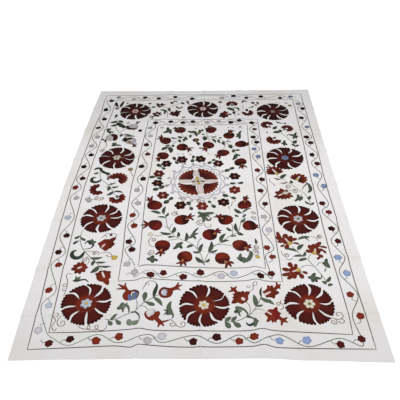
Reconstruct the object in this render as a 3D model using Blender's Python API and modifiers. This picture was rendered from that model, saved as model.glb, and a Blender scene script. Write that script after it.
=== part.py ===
"""A suzani: three long loom widths of cotton sewn edge to edge, lying open on a flat surface.

The cloth has been folded up for storage, so low fold ridges cross it and stand up from the surface.
Metres, +Z up. X runs across the cloth, Y along it from the foot edge to the head edge, and the
origin is the centre of the underside.
"""

import math

import bmesh
import bpy

# Driving dimensions
LENGTH = 2.502
WIDTH = 1.778
THICKNESS = 0.002
SEAM_GAP = 0.0003
GRID_STEP = 0.075
FOLD_STATIONS = (-1.0, -0.5, 0.0, 0.5, 1.0)

COTTON_COLOUR = (0.80, 0.79, 0.77, 1.0)
COTTON_ROUGHNESS = 0.9

# The long edges and the two seams bow gently to the left: x at the foot, half way and at the head
LONG_LINES = {
    "left_edge": (-0.863, -0.889, -0.863),
    "left_seam": (-0.274, -0.303, -0.277),
    "right_seam": (0.314, 0.291, 0.309),
    "right_edge": (0.889, 0.876, 0.882),
}

# Each loom width: node name, its left line and its right line
PANELS = (
    ("panel_left", "left_edge", "left_seam"),
    ("panel_centre", "left_seam", "right_seam"),
    ("panel_right", "right_seam", "right_edge"),
)

# How far the short edges draw in from the full length: x, inset
FOOT_INSETS = (
    (-0.889, 0.000),
    (-0.600, 0.006),
    (-0.290, 0.011),
    (-0.276, 0.017),
    (-0.262, 0.012),
    (0.010, 0.013),
    (0.314, 0.017),
    (0.510, 0.008),
    (0.889, 0.000),
)
HEAD_INSETS = (
    (-0.889, 0.000),
    (-0.400, 0.006),
    (0.000, 0.007),
    (0.500, 0.004),
    (0.889, 0.000),
)

# Folds that cross the cloth: y in the middle, rise of y from left to right,
# height at the left and at the right, half width
CROSS_FOLDS = (
    (-1.000, 0.020, 0.0030, 0.0016, 0.040),
    (-0.670, 0.090, 0.0048, 0.0056, 0.045),
    (-0.320, 0.020, 0.0022, 0.0026, 0.040),
    (-0.008, 0.010, 0.0030, 0.0062, 0.045),
    (0.315, 0.070, 0.0056, 0.0046, 0.045),
    (0.640, -0.030, 0.0050, 0.0042, 0.045),
    (0.955, -0.020, 0.0060, 0.0052, 0.045),
)

# Folds that run along the cloth: the two lines it lies half way between, which are one and the same
# for a fold along a seam, then height at the foot and at the head, half width
LONG_FOLDS = (
    ("left_seam", "left_seam", 0.0066, 0.0030, 0.045),
    ("left_seam", "right_seam", 0.0036, 0.0028, 0.040),
    ("right_seam", "right_seam", 0.0110, 0.0034, 0.050),
)


def along_line(name, y):
    """x of a long line at y: a parabola through its three places."""
    foot, middle, head = LONG_LINES[name]
    t = 2 * y / LENGTH
    return middle + (head - foot) / 2 * t + ((head + foot) / 2 - middle) * t * t


def eased(table, position):
    """Value of a two-column table at a position, easing from each row to the next."""
    for (start, first), (end, last) in zip(table, table[1:]):
        if position <= end:
            share = max(0.0, (position - start) / (end - start))
            return first + (last - first) * (1 - math.cos(math.pi * share)) / 2
    return table[-1][1]


def ridge(distance, half_width):
    """Height of a soft fold at a distance from its crest, where the crest is 1 and the foot is 0."""
    share = min(1.0, abs(distance) / half_width)
    return math.cos(math.pi * share / 2) ** 2


def fold_crest_x(fold, y):
    """x of the crest of a long fold, half way between its two lines."""
    return (along_line(fold[0], y) + along_line(fold[1], y)) / 2


def cloth_height(x, y):
    """How far the underside stands off the surface. Folds that meet run into each other."""
    squares = 0.0
    for middle, rise, left, right, half_width in CROSS_FOLDS:
        across = x / WIDTH
        height = left + (right - left) * (across + 0.5)
        squares += (height * ridge(y - middle - rise * across, half_width)) ** 2
    for fold in LONG_FOLDS:
        foot, head, half_width = fold[2:]
        height = foot + (head - foot) * (y / LENGTH + 0.5)
        squares += (height * ridge(x - fold_crest_x(fold, y), half_width)) ** 2
    return math.sqrt(squares)


def stations(start, end, folds, step):
    """Places of the grid lines from start to end: five on each fold, and even ones between."""
    marks = {start, end}
    for crest, half_width in folds:
        marks |= {crest + half_width * share for share in FOLD_STATIONS}
    marks = sorted(mark for mark in marks if start <= mark <= end)
    places = []
    for first, last in zip(marks, marks[1:]):
        cells = math.ceil((last - first) / step)
        places += [first + (last - first) * cell / cells for cell in range(cells)]
    return places + [end]


def row_stations():
    """Rows from the foot to the head, as each row's y in the middle of the cloth."""
    folds = [(middle, half_width) for middle, _, _, _, half_width in CROSS_FOLDS]
    return stations(-LENGTH / 2, LENGTH / 2, folds, GRID_STEP)


def row_rises():
    """How much a row climbs from left to right, as a table that follows the folds' own slants."""
    slants = [(middle, rise) for middle, rise, _, _, _ in CROSS_FOLDS]
    return [(-LENGTH / 2, 0.0)] + slants + [(LENGTH / 2, 0.0)]


def column_stations(left, right):
    """Columns of one panel, as shares of the way from its left line to its right line."""
    start, end = LONG_LINES[left][1], LONG_LINES[right][1]
    folds = [(fold_crest_x(fold, 0.0), fold[4]) for fold in LONG_FOLDS]
    return [(x - start) / (end - start) for x in stations(start, end, folds, GRID_STEP)]


def cotton():
    """Bleached cotton, plain and matt."""
    material = bpy.data.materials.new("cotton")
    material.use_nodes = True
    shader = material.node_tree.nodes["Principled BSDF"]
    shader.inputs["Base Color"].default_value = COTTON_COLOUR
    shader.inputs["Roughness"].default_value = COTTON_ROUGHNESS
    shader.inputs["Metallic"].default_value = 0.0
    return material


def panel_point(left, right, share, row, rises):
    """The place of one grid point: share of the way across the panel, on the row that starts at y."""
    foot_seam = SEAM_GAP / 2 if left.endswith("seam") else 0.0
    head_seam = SEAM_GAP / 2 if right.endswith("seam") else 0.0
    y = row
    for _ in range(2):
        start = along_line(left, y) + foot_seam
        end = along_line(right, y) - head_seam
        x = start + (end - start) * share
        y = row + eased(rises, row) * x / WIDTH
    draw = eased(FOOT_INSETS, x) if y < 0 else -eased(HEAD_INSETS, x)
    y += draw * (2 * abs(y) / LENGTH) ** 8
    return x, y, cloth_height(x, y)


def make_panel(name, left, right, material, collection):
    """One loom width: a grid laid over the folds, then thickened upwards from the surface."""
    columns = column_stations(left, right)
    rows = row_stations()
    rises = row_rises()
    mesh = bpy.data.meshes.new(name)
    grid = bmesh.new()
    bmesh.ops.create_grid(
        grid, x_segments=len(columns) - 1, y_segments=len(rows) - 1, size=0.5
    )
    for vertex in grid.verts:
        column = round((vertex.co.x + 0.5) * (len(columns) - 1))
        row = round((vertex.co.y + 0.5) * (len(rows) - 1))
        vertex.co = panel_point(left, right, columns[column], rows[row], rises)
    grid.to_mesh(mesh)
    grid.free()
    mesh.materials.append(material)
    mesh.shade_smooth()
    panel = bpy.data.objects.new(name, mesh)
    collection.objects.link(panel)
    thickness = panel.modifiers.new("cloth thickness", "SOLIDIFY")
    thickness.thickness = THICKNESS
    thickness.offset = 1.0
    return panel


def main():
    for leftover in list(bpy.data.objects):
        bpy.data.objects.remove(leftover)
    collection = bpy.data.collections.new("suzani")
    bpy.context.scene.collection.children.link(collection)
    material = cotton()
    for name, left, right in PANELS:
        make_panel(name, left, right, material, collection)


main()
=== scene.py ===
import math

import bpy
import numpy as np
from mathutils import Matrix, Vector


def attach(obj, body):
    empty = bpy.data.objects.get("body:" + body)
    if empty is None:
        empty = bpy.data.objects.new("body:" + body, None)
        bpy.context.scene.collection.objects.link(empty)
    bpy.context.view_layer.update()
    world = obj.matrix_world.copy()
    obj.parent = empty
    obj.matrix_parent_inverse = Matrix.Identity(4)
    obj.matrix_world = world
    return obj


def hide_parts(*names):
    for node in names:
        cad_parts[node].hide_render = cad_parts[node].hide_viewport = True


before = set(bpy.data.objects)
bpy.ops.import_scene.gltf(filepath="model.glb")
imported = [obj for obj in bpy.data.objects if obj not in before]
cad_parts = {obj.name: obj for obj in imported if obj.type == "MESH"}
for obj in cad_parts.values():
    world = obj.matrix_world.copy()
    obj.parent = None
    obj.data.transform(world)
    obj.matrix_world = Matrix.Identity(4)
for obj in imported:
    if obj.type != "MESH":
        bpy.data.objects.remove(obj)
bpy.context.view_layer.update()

dice = np.random.default_rng(11)

# The cloth: three loom widths that lie on their storage folds, in metres.
# longLines: x at the foot, half way and at the head. crossFolds: y in the middle, rise from left to
# right, height left and right, half width. longFolds: the two lines it lies half way between, height
# at foot and head, half width. wrinkles: from x, y to x, y, height, half width.
cloth = {
    "length": 2.502, "width": 1.778, "thickness": 0.0012, "seamGap": 0.0003, "cell": 0.0085,
    "hemWidth": 0.0075, "hemHeight": 0.0008, "hemStations": (0.0, 0.0012, 0.003, 0.005, 0.0068, 0.0085),
    "hemClear": 0.011, "rippleHeight": 0.0005,
    "creaseHeight": 0.0013, "creaseHalf": 0.009, "creaseWander": 0.002, "creasePaintedShade": 0.075,
    "longLines": {
        "left_edge": (-0.863, -0.889, -0.863), "left_seam": (-0.274, -0.303, -0.277),
        "right_seam": (0.314, 0.291, 0.309), "right_edge": (0.889, 0.876, 0.882)},
    "panels": (("panel_left", "left_edge", "left_seam"), ("panel_centre", "left_seam", "right_seam"),
               ("panel_right", "right_seam", "right_edge")),
    "footInsets": ((-0.889, 0.0), (-0.6, 0.006), (-0.29, 0.011), (-0.276, 0.017), (-0.262, 0.012),
                   (0.01, 0.013), (0.314, 0.017), (0.51, 0.008), (0.889, 0.0)),
    "headInsets": ((-0.889, 0.0), (-0.4, 0.006), (0.0, 0.007), (0.5, 0.004), (0.889, 0.0)),
    "crossFolds": (
        (-1.000, 0.020, 0.0030, 0.0016, 0.040), (-0.670, 0.090, 0.0048, 0.0056, 0.045),
        (-0.320, 0.020, 0.0022, 0.0026, 0.040), (-0.008, 0.010, 0.0030, 0.0062, 0.045),
        (0.315, 0.070, 0.0056, 0.0046, 0.045), (0.640, -0.030, 0.0050, 0.0042, 0.045),
        (0.955, -0.020, 0.0060, 0.0052, 0.045)),
    "longFolds": (
        ("left_seam", "left_seam", 0.0066, 0.0030, 0.045),
        ("left_seam", "right_seam", 0.0036, 0.0028, 0.040),
        ("right_seam", "right_seam", 0.0110, 0.0034, 0.050)),
    "wrinkles": (
        (0.815, -1.195, 0.885, -1.120, 0.0022, 0.010), (0.800, -1.150, 0.860, -1.080, 0.0016, 0.009),
        (0.825, -0.655, 0.880, -0.605, 0.0020, 0.011), (0.640, -0.815, 0.715, -0.915, 0.0016, 0.012),
        (-0.860, 0.600, -0.800, 0.660, 0.0014, 0.011), (-0.850, -0.300, -0.800, -0.350, 0.0012, 0.010),
        (-0.600, -1.235, -0.560, -1.180, 0.0014, 0.010), (0.820, 0.620, 0.872, 0.560, 0.0014, 0.011)),
}

# Thread colours as they look in daylight (red, green, blue of 255), under the slot they are dyed from
shades = {
    "maroon": {"maroon": (80, 25, 21), "dark": (58, 21, 17), "black": (32, 14, 13), "wine": (96, 50, 50),
               "crimson": (122, 32, 30)},
    "rust": {"rust": (126, 46, 28), "garnet": (116, 34, 22), "brick": (106, 38, 24), "tan": (180, 122, 78),
             "bark": (112, 78, 60), "rosewood": (172, 124, 116)},
    "green": {"leaf": (90, 102, 84), "moss": (54, 66, 54), "sage": (124, 136, 118), "olive": (124, 118, 62),
              "vine": (96, 106, 90), "pine": (70, 98, 84)},
    "blue": {"blue": (144, 164, 206), "sky": (184, 196, 212), "indigo": (98, 110, 154)},
    "grey": {"lilac": (202, 198, 208), "grey": (188, 184, 186), "ecru": (208, 202, 192),
             "slate": (108, 106, 102), "ash": (132, 124, 120), "line": (92, 80, 74), "curl": (124, 94, 92)},
    "yellow": {"gold": (204, 174, 84), "khaki": (160, 140, 100)},
    "white": {"cream": (222, 214, 196), "shell": (226, 212, 208), "blush": (206, 172, 166),
              "white": (226, 224, 222)},
}
dyes = {dye: (slotWord, colour) for slotWord, group in shades.items() for dye, colour in group.items()}

# How the needlework stands on the cloth: heights in metres, widths of lines in centimetres
needlework = {"embed": 0.0005, "sink": 0.0001, "satin": 0.0008, "line": 0.0007, "layer": 0.0005,
              "edgeShade": 0.6, "lineWidth": 0.42, "leastWidth": 0.04}
planCentre = (0.012, -0.002)    # where the middle of the pattern lies on the cloth


def alongLine(name, y):         # x of a long line at y: a parabola through its three places
    foot, middle, head = cloth["longLines"][name]
    t = 2 * y / cloth["length"]
    return middle + (head - foot) / 2 * t + ((head + foot) / 2 - middle) * t * t


def eased(table, position):     # a two-column table read at a position, with half a cosine between rows
    rows = np.array(table, float)
    place = np.clip(np.searchsorted(rows[:, 0], position), 1, len(rows) - 1)
    start, end = rows[place - 1], rows[place]
    share = np.clip((position - start[..., 0]) / (end[..., 0] - start[..., 0]), 0, 1)
    return start[..., 1] + (end[..., 1] - start[..., 1]) * (1 - np.cos(np.pi * share)) / 2


def ridge(distance, halfWidth):     # cosine squared of the distance, 1 on the crest and 0 at the foot
    return np.cos(np.pi * np.minimum(1, np.abs(distance) / halfWidth) / 2) ** 2


def smooth(low, high, value):       # 0 below low, 1 above high, an S between them
    share = np.clip((value - low) / (high - low), 0, 1)
    return share * share * (3 - 2 * share)


def creaseLines(x, y):              # 1 on the sharp line of a storage fold and 0 a little way off it
    crease = np.zeros(np.shape(x))
    for middle, rise, *_ in cloth["crossFolds"]:
        wander = cloth["creaseWander"] * np.sin(x * 17 + middle * 9)
        off = y - middle - rise * x / cloth["width"] + wander
        crease = np.maximum(crease, ridge(off, cloth["creaseHalf"]))
    middleFold = (alongLine("left_seam", y) + alongLine("right_seam", y)) / 2
    return np.maximum(crease, ridge(x - middleFold, cloth["creaseHalf"]))


# Underside of the cloth over the surface: the root of the summed squares of the fold ridges, a sharper
# line along each crest, the wrinkles, and a faint ripple made of two sine waves
def clothUnder(x, y):
    squares = np.zeros(np.shape(x))
    for middle, rise, left, right, half in cloth["crossFolds"]:
        across = x / cloth["width"]
        height = left + (right - left) * (across + 0.5)
        off = y - middle - rise * across
        squares += (height * ridge(off, half)) ** 2
    for first, second, foot, head, half in cloth["longFolds"]:
        height = foot + (head - foot) * (y / cloth["length"] + 0.5)
        off = x - (alongLine(first, y) + alongLine(second, y)) / 2
        squares += (height * ridge(off, half)) ** 2
    wrinkled = np.zeros(np.shape(x))
    for ax, ay, bx, by, height, half in cloth["wrinkles"]:
        run = np.hypot(bx - ax, by - ay)
        ex, ey = (bx - ax) / run, (by - ay) / run
        along = ((x - ax) * ex + (y - ay) * ey) / run
        off = (x - ax) * ey - (y - ay) * ex
        wrinkled = np.maximum(wrinkled, height * ridge(off, half) * ridge(along - 0.5, 0.62))
    wave = np.sin(x * 23 + 2 * np.sin(y * 7)) * np.sin(y * 19 + 2 * np.sin(x * 9))
    return (np.sqrt(squares) + cloth["creaseHeight"] * creaseLines(x, y) + wrinkled
            + cloth["rippleHeight"] * (0.5 + 0.5 * wave))


def linear(colour):                 # a screen colour of 255 as the light it sends back
    share = np.array(colour, float) / 255
    return np.where(share <= 0.04045, share / 12.92, ((share + 0.055) / 1.055) ** 2.4)


slabCache = {}


# Faces of a closed slab whose top and bottom are like grids: top, bottom turned over, walls round the rim
def slabFaces(rows, columns):
    if (rows, columns) not in slabCache:
        top = np.arange(rows * columns).reshape(rows, columns)
        cells = np.stack([top[:-1, :-1], top[:-1, 1:], top[1:, 1:], top[1:, :-1]], -1).reshape(-1, 4)
        rim = np.concatenate([top[0, :-1], top[:-1, -1], top[-1, :0:-1], top[:0:-1, 0]])
        after = np.roll(rim, -1)
        under = rows * columns
        walls = np.stack([rim, rim + under, after + under, after], -1)
        slabCache[rows, columns] = np.concatenate([cells, cells[:, ::-1] + under, walls])
    return slabCache[rows, columns]


# A mesh of four-cornered faces, with the thread's place as its UV map and its dyes and painted shade on its
# points
def buildMesh(name, points, faces, thread, colours):
    mesh = bpy.data.meshes.new(name)
    mesh.vertices.add(len(points))
    mesh.vertices.foreach_set("co", np.ascontiguousarray(points, np.float32).ravel())
    mesh.loops.add(faces.size)
    mesh.loops.foreach_set("vertex_index", np.ascontiguousarray(faces, np.int32).ravel())
    mesh.polygons.add(len(faces))
    mesh.polygons.foreach_set("loop_start", np.arange(0, faces.size, 4, dtype=np.int32))
    mesh.update(calc_edges=True)
    layer = mesh.uv_layers.new(name="thread")
    layer.data.foreach_set("uv", np.ascontiguousarray(thread[faces.ravel()], np.float32).ravel())
    # the dye colours also hold painted shade: at the edges of the needlework and along the cloth's creases
    paint = mesh.color_attributes.new("dye", "FLOAT_COLOR", "POINT")
    full = np.concatenate([colours, np.ones((len(colours), 1))], 1)
    paint.data.foreach_set("color", np.ascontiguousarray(full, np.float32).ravel())
    mesh.validate()
    mesh.shade_smooth()
    piece = bpy.data.objects.new(name, mesh)
    bpy.context.scene.collection.objects.link(piece)
    return piece


# Shader sums are written as Python: Value wraps a socket, and each sum adds its Math node
class Value:
    def __init__(self, tree, socket):
        self.tree, self.socket = tree, socket

    def math(self, operation, *others):
        node = self.tree.nodes.new("ShaderNodeMath")
        node.operation = operation
        for place, entry in enumerate(others):
            if isinstance(entry, Value):
                self.tree.links.new(entry.socket, node.inputs[place])
            else:
                node.inputs[place].default_value = entry
        return Value(self.tree, node.outputs[0])

    def __add__(self, other):
        return self.math("ADD", self, other)

    def __radd__(self, other):
        return self.math("ADD", other, self)

    def __sub__(self, other):
        return self.math("SUBTRACT", self, other)

    def __rsub__(self, other):
        return self.math("SUBTRACT", other, self)

    def __mul__(self, other):
        return self.math("MULTIPLY", self, other)

    def __rmul__(self, other):
        return self.math("MULTIPLY", other, self)

    def sine(self):
        return self.math("SINE", self)

    def size(self):
        return self.math("ABSOLUTE", self)

    def power(self, other):
        return self.math("POWER", self, other)

    def above(self, other):
        return self.math("MAXIMUM", self, other)


# A material made from a few kinds of node around one Principled shader
class Finish:
    def __init__(self, name):
        self.material = bpy.data.materials.new(name)
        self.material.use_nodes = True
        self.tree = self.material.node_tree
        self.shader = self.tree.nodes["Principled BSDF"]

    def node(self, kind, settings, sockets, output=0):  # one node: its settings, then its sockets
        made = self.tree.nodes.new("ShaderNode" + kind)
        for key, setting in settings.items():
            setattr(made, key, setting)
        for key, entry in sockets.items():
            if isinstance(entry, Value):
                self.tree.links.new(entry.socket, made.inputs[key])
            else:
                made.inputs[key].default_value = entry
        return Value(self.tree, made.outputs[output])

    def noise(self, place, scale, detail=2.0):
        return self.node("TexNoise", {}, {"Vector": place, "Scale": scale, "Detail": detail})

    def grain(self, place, stretch):    # noise on a stretched place
        return self.noise(self.node("Mapping", {}, {0: place, 3: stretch}), 1.0)

    def part(self, place, axis):        # x, y or z of a place
        return self.node("SeparateXYZ", {}, {0: place}, axis)

    def fade(self, value, start, end, tone):    # 1 at the start, a tone at the end, an S between them
        return self.node("MapRange", {"interpolation_type": "SMOOTHSTEP"},
                         {0: value, 1: start, 2: end, 3: 1.0, 4: tone})

    def dyed(self):                     # the colour painted on the mesh
        return self.node("Attribute", {"attribute_name": "dye"}, {})

    def times(self, first, second):     # two colours multiplied
        return self.node("VectorMath", {"operation": "MULTIPLY"}, {0: first, 1: second})

    def tint(self, colour, factor):     # a colour made lighter or darker by a number
        return self.times(colour, self.node("CombineXYZ", {}, {0: factor, 1: factor, 2: factor}))

    def blend(self, first, second, factor):     # one colour over another
        return self.node("Mix", {"data_type": "RGBA"}, {0: factor, 6: first, 7: second}, 2)

    def set(self, **values):                # numbers that hold all over
        for key, value in values.items():
            self.shader.inputs[key.replace("_", " ")].default_value = value

    def feed(self, key, value):
        self.tree.links.new(value.socket, self.shader.inputs[key])

    def bump(self, height, strength, distance):
        normal = self.node("Bump", {}, {"Strength": strength, "Distance": distance, "Height": height})
        self.feed("Normal", normal)


# The ground cloth. slubs, warpStripes, patches and mottle: scales of the noise. Fades: from, to, last tone
cotton = {
    "colour": (231, 229, 229), "stain": (219, 212, 200), "roughness": 0.92, "sheen": 0.2,
    "weavePitch": 0.0011, "weaveDepth": 0.0003, "slubs": ((24, 900, 24), (900, 24, 24)),
    "warpStripes": (150, 5, 1), "patches": 2.6, "mottle": 22.0, "stainFrom": 0.50, "stainGain": 2.2,
    "headFade": (0.05, 1.25, 0.79), "footFade": (-0.7, -1.27, 0.91), "leftFade": (0.1, -0.9, 0.975),
}


# Bleached cotton: a plain weave of two crossed sine waves with slubs, stripes of the warp, pale stains,
# a tone that deepens towards the head, the foot and the left, and painted shade along the creases
def cottonFinish():
    finish = Finish("bleached cotton")
    place = finish.node("TexCoord", {}, {}, 3)
    x, y = finish.part(place, 0), finish.part(place, 1)
    turn = 2 * math.pi / cotton["weavePitch"]
    weave = (x * turn).sine() * (y * turn).sine()
    slub = finish.grain(place, cotton["slubs"][0]) + finish.grain(place, cotton["slubs"][1])
    warp = finish.grain(place, cotton["warpStripes"])
    mottle = finish.noise(place, cotton["mottle"], 3.0)
    patches = finish.noise(place, cotton["patches"], 4.0)
    stains = (patches - cotton["stainFrom"]).above(0.0) * cotton["stainGain"]
    fades = finish.fade(y, *cotton["headFade"]) * finish.fade(y, *cotton["footFade"])
    fades = fades * finish.fade(x, *cotton["leftFade"])
    tone = fades * (0.945 + mottle * 0.05 + slub * 0.015 + warp * 0.04)
    colour = finish.blend((*linear(cotton["colour"]), 1), (*linear(cotton["stain"]), 1), stains)
    # the dye colours painted on the cloth's mesh are its painted shade along the creases
    finish.feed("Base Color", finish.times(finish.tint(colour, tone), finish.dyed()))
    finish.set(Roughness=cotton["roughness"], Specular_IOR_Level=cotton["sheen"])
    finish.bump(weave * 0.5 + slub * 0.5 + mottle * 0.4, 0.5, cotton["weaveDepth"])
    return finish.material


# The thread. streaks, hanks and wear: scales of the noise. headTone: each slot's last tone at the head
silk = {
    "strand": 0.0011,       # width of one laid thread
    "tie": 0.0046,          # pitch of the slanting tie-down stitches
    "depth": 0.00035, "roughness": 0.75, "gloss": 0.06,
    "streaks": (620, 30, 1), "hanks": (190, 9, 1), "wear": 9.0, "headFade": (-1.0, 1.1),
    "headTone": {"maroon": 0.26, "rust": 0.4, "green": 0.4, "blue": 0.35, "grey": 0.6, "yellow": 0.6,
                 "white": 0.7},
}


# Silk floss in its own dye: laid threads as sine ridges across the UV map, slanting tie-down stitches
# across them where it is couched, strands that each took the dye a little differently, patchy wear, and
# a tone that deepens towards the head. The ridges and the ties also light and darken the colour: painted
# shade of the threads' relief
def silkFinish(slotWord, couched):
    finish = Finish("silk " + slotWord + ("" if couched else " line"))
    place = finish.node("TexCoord", {}, {}, 3)
    thread = finish.node("UVMap", {"uv_map": "thread"}, {})
    across, along = finish.part(thread, 0), finish.part(thread, 1)
    strand = (across * (math.pi / silk["strand"])).sine().size()
    tie = ((along + across * 0.55) * (math.pi / silk["tie"])).sine().size().power(0.35)
    streak = finish.grain(thread, silk["streaks"])
    hank = finish.grain(thread, silk["hanks"])
    worn = finish.noise(place, silk["wear"], 3.0)
    headward = finish.fade(finish.part(place, 1), *silk["headFade"], silk["headTone"][slotWord])
    # strand lightens each laid thread's crest and tie darkens the grooves at the tie-downs: painted shade
    level = (0.49 + streak * 0.38 + hank * 0.32 + worn * 0.20 + strand * 0.11) * headward
    if couched:
        level = level * (0.82 + tie * 0.2)
    finish.feed("Base Color", finish.tint(finish.dyed(), level))
    finish.feed("Roughness", silk["roughness"] + (streak - 0.5) * 0.25)
    finish.set(Specular_IOR_Level=silk["gloss"])
    finish.bump(strand + (tie if couched else streak), 0.6, silk["depth"])
    return finish.material


def stationsAlong(start, end):      # evenly spaced places, with close ones over the hem at both ends
    hem = np.array(cloth["hemStations"])
    spaced = np.linspace(start, end, int(round((end - start) / cloth["cell"])) + 1)
    inner = spaced[(spaced > start + cloth["hemClear"]) & (spaced < end - cloth["hemClear"])]
    return np.concatenate([start + hem, inner, (end - hem)[::-1]])


def hemRoll(distance):              # a rolled edge: the root of half a sine over the hem's width
    share = np.clip(distance / cloth["hemWidth"], 0, 1)
    return cloth["hemHeight"] * np.sqrt(np.clip(np.sin(np.pi * share), 0, 1))


# Points of a loom width: a share of the way between its two long lines, on rows that slant with the
# folds, and drawn in at the short edges
def panelPlan(left, right, share, row):
    rises = [(-cloth["length"] / 2, 0.0)]
    rises += [(fold[0], fold[1]) for fold in cloth["crossFolds"]]
    rises += [(cloth["length"] / 2, 0.0)]
    gap = cloth["seamGap"] / 2
    y = row
    for _ in range(2):
        start = alongLine(left, y) + (gap if left.endswith("seam") else 0.0)
        end = alongLine(right, y) - (gap if right.endswith("seam") else 0.0)
        x = start + (end - start) * share
        y = row + eased(rises, row) * x / cloth["width"]
    draw = np.where(y < 0, eased(cloth["footInsets"], x), -eased(cloth["headInsets"], x))
    return x, y + draw * (2 * np.abs(y) / cloth["length"]) ** 8


# A loom width: a closed slab on the grid of its plan, whose top adds the cloth's thickness and the greatest
# of the hems' rolls to its underside. Its area is the sum of the grid's crossed steps
def makePanel(name, left, right, finish):
    width = cloth["longLines"][right][1] - cloth["longLines"][left][1]
    across, rows = stationsAlong(0, width), stationsAlong(-cloth["length"] / 2, cloth["length"] / 2)
    reach, row = np.meshgrid(across, rows)
    x, y = panelPlan(left, right, reach / width, row)
    under = clothUnder(x, y)
    hem = hemRoll(cloth["length"] / 2 - np.abs(row))
    if left.endswith("edge"):
        hem = np.maximum(hem, hemRoll(reach))
    if right.endswith("edge"):
        hem = np.maximum(hem, hemRoll(width - reach))
    top = np.stack([x, y, under + cloth["thickness"] + hem], -1).reshape(-1, 3)
    bottom = np.stack([x, y, under], -1).reshape(-1, 3)
    flat = np.stack([x, y], -1).reshape(-1, 2)
    faces = slabFaces(*x.shape)
    # painted shade along the creases, carried in the cloth's dye colours and multiplied into the cotton
    creaseShadeTone = (1 - cloth["creasePaintedShade"] * creaseLines(x, y)).reshape(-1, 1) * np.ones(3)
    piece = buildMesh(name.replace("panel", "cloth"), np.concatenate([top, bottom]), faces,
                      np.concatenate([flat, flat]), np.concatenate([creaseShadeTone, creaseShadeTone]))
    piece.data.materials.append(finish)
    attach(piece, "root")
    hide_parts(name)
    steps = np.stack([x, y, under], -1)
    side, climb = np.diff(steps, axis=1)[:-1], np.diff(steps, axis=0)[:, :-1]
    area = float(np.linalg.norm(np.cross(side, climb), axis=-1).sum())
    return piece, round(area, 3)


# Needlework under its family and slot: points, faces, places of the thread, dyes and number of points
stitched = {}


# A patch is laid out on the flat pattern in centimetres and set on the cloth as a closed slab: its top
# lies a rise over the cloth's, a little more for each layer, and its bottom is sunk into the cloth
def layPatch(family, dye, plan, rise, colour, thread, layer=0):
    slotWord = dyes[dye][0]
    cells = plan[1:, :-1] - plan[:-1, :-1], plan[:-1, 1:] - plan[:-1, :-1]
    if (cells[1][..., 0] * cells[0][..., 1] - cells[1][..., 1] * cells[0][..., 0]).sum() < 0:
        plan, rise, colour, thread = (entry[:, ::-1] for entry in (plan, rise, colour, thread))
    x, y = plan[..., 0] / 100 + planCentre[0], plan[..., 1] / 100 + planCentre[1]
    top = clothUnder(x, y) + cloth["thickness"]
    lift = needlework["layer"] * layer - needlework["sink"]
    upper = np.stack([x, y, top + rise + lift], -1).reshape(-1, 3)
    lower = np.stack([x, y, top - needlework["embed"]], -1).reshape(-1, 3)
    held = stitched.setdefault((family, slotWord), [[], [], [], [], 0])
    held[0] += [upper, lower]
    held[1].append(slabFaces(*plan.shape[:2]) + held[4])
    held[2] += [thread.reshape(-1, 2)] * 2
    held[3] += [colour.reshape(-1, 3)] * 2
    held[4] += 2 * len(upper)


def shaded(dye, edge, second=None, share=0.0):  # a dye, or two that run together, darker by the edge cubed
    colour = linear(dyes[dye][1])[None, None] * np.ones(edge.shape + (1,))
    if second:
        other = linear(dyes[second][1])
        mixed = np.clip(share, 0, 1)[..., None] * np.ones(edge.shape + (1,))
        colour = colour * (1 - mixed) + other * mixed
    # darker towards each patch's edge by the edge cubed: painted shade at the rim of the satin
    return colour * (1 - (1 - needlework["edgeShade"]) * np.clip(edge, 0, 1) ** 3)[..., None]


# A rounded patch: a square grid eased into a disc, out to a radius that changes with the angle, under a
# dome that is the root of one less the cube of the reach
def layBlob(family, dye, x, y, outline, second=None, lean=0.0, stitch=0.0, cells=9, layer=0, height=1.0):
    t = np.linspace(-1, 1, cells)
    t = np.sign(t) * np.abs(t) ** 0.85      # closer together towards the rim
    a, b = np.meshgrid(t, t)
    u, v = a * np.sqrt(1 - b * b / 2), b * np.sqrt(1 - a * a / 2)
    reach, angle = np.hypot(u, v), np.arctan2(v, u)
    radius = outline(angle) * reach
    plan = np.stack([x + radius * np.cos(angle), y + radius * np.sin(angle)], -1)
    rise = needlework["satin"] * height * np.sqrt(np.clip(1 - reach ** 3, 0, 1))
    share = 0.5 + 0.9 * (np.cos(angle - lean) * reach)
    colour = shaded(dye, reach, second, smooth(0.25, 0.75, share))
    c, s = math.cos(stitch), math.sin(stitch)
    across, along = plan[..., 0] * c + plan[..., 1] * s, plan[..., 1] * c - plan[..., 0] * s
    thread = np.stack([across, along], -1) / 100
    layPatch(family, dye, plan, rise, colour, thread, layer)


def smoothRoute(points, step):      # a curve through the points: each span blends its neighbours' slopes
    points = np.array(points, float)
    ends = np.concatenate([[2 * points[0] - points[1]], points, [2 * points[-1] - points[-2]]])
    spans = []
    for i in range(1, len(ends) - 2):
        p, q, r, s = ends[i - 1], ends[i], ends[i + 1], ends[i + 2]
        count = max(2, int(math.ceil(np.hypot(*(r - q)) / step)))
        t = np.arange(count)[:, None] / count
        spans.append(0.5 * (2 * q + (r - p) * t + (2 * p - 5 * q + 4 * r - s) * t * t
                            + (3 * q - p - 3 * r + s) * t ** 3))
    return np.concatenate(spans + [points[-1:]])


profiles = {    # half width of a band as a share of its widest, at a share of its length
    "leaf": lambda s: np.sin(np.pi * s ** 0.8) ** 0.8,
    "paddle": lambda s: (0.25 + 0.75 * smooth(0.0, 0.6, s)) * np.sqrt(np.clip(1 - s ** 5, 0, 1)),
    "horn": lambda s: 1 - 0.62 * s - 0.3 * s ** 8,
    "prong": lambda s: (0.75 - 0.3 * ridge(s - 0.45, 0.4) + 0.2 * s) * np.sqrt(np.clip(1 - s ** 9, 0, 1)),
    "finger": lambda s: (1 - 0.4 * s) * np.sqrt(np.clip(1 - s ** 6, 0, 1)),
    "stem": lambda s: np.ones(np.shape(s)),
    "lens": lambda s: np.sqrt(np.clip(1 - (2 * s - 1) ** 2, 0, 1)),
}


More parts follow.
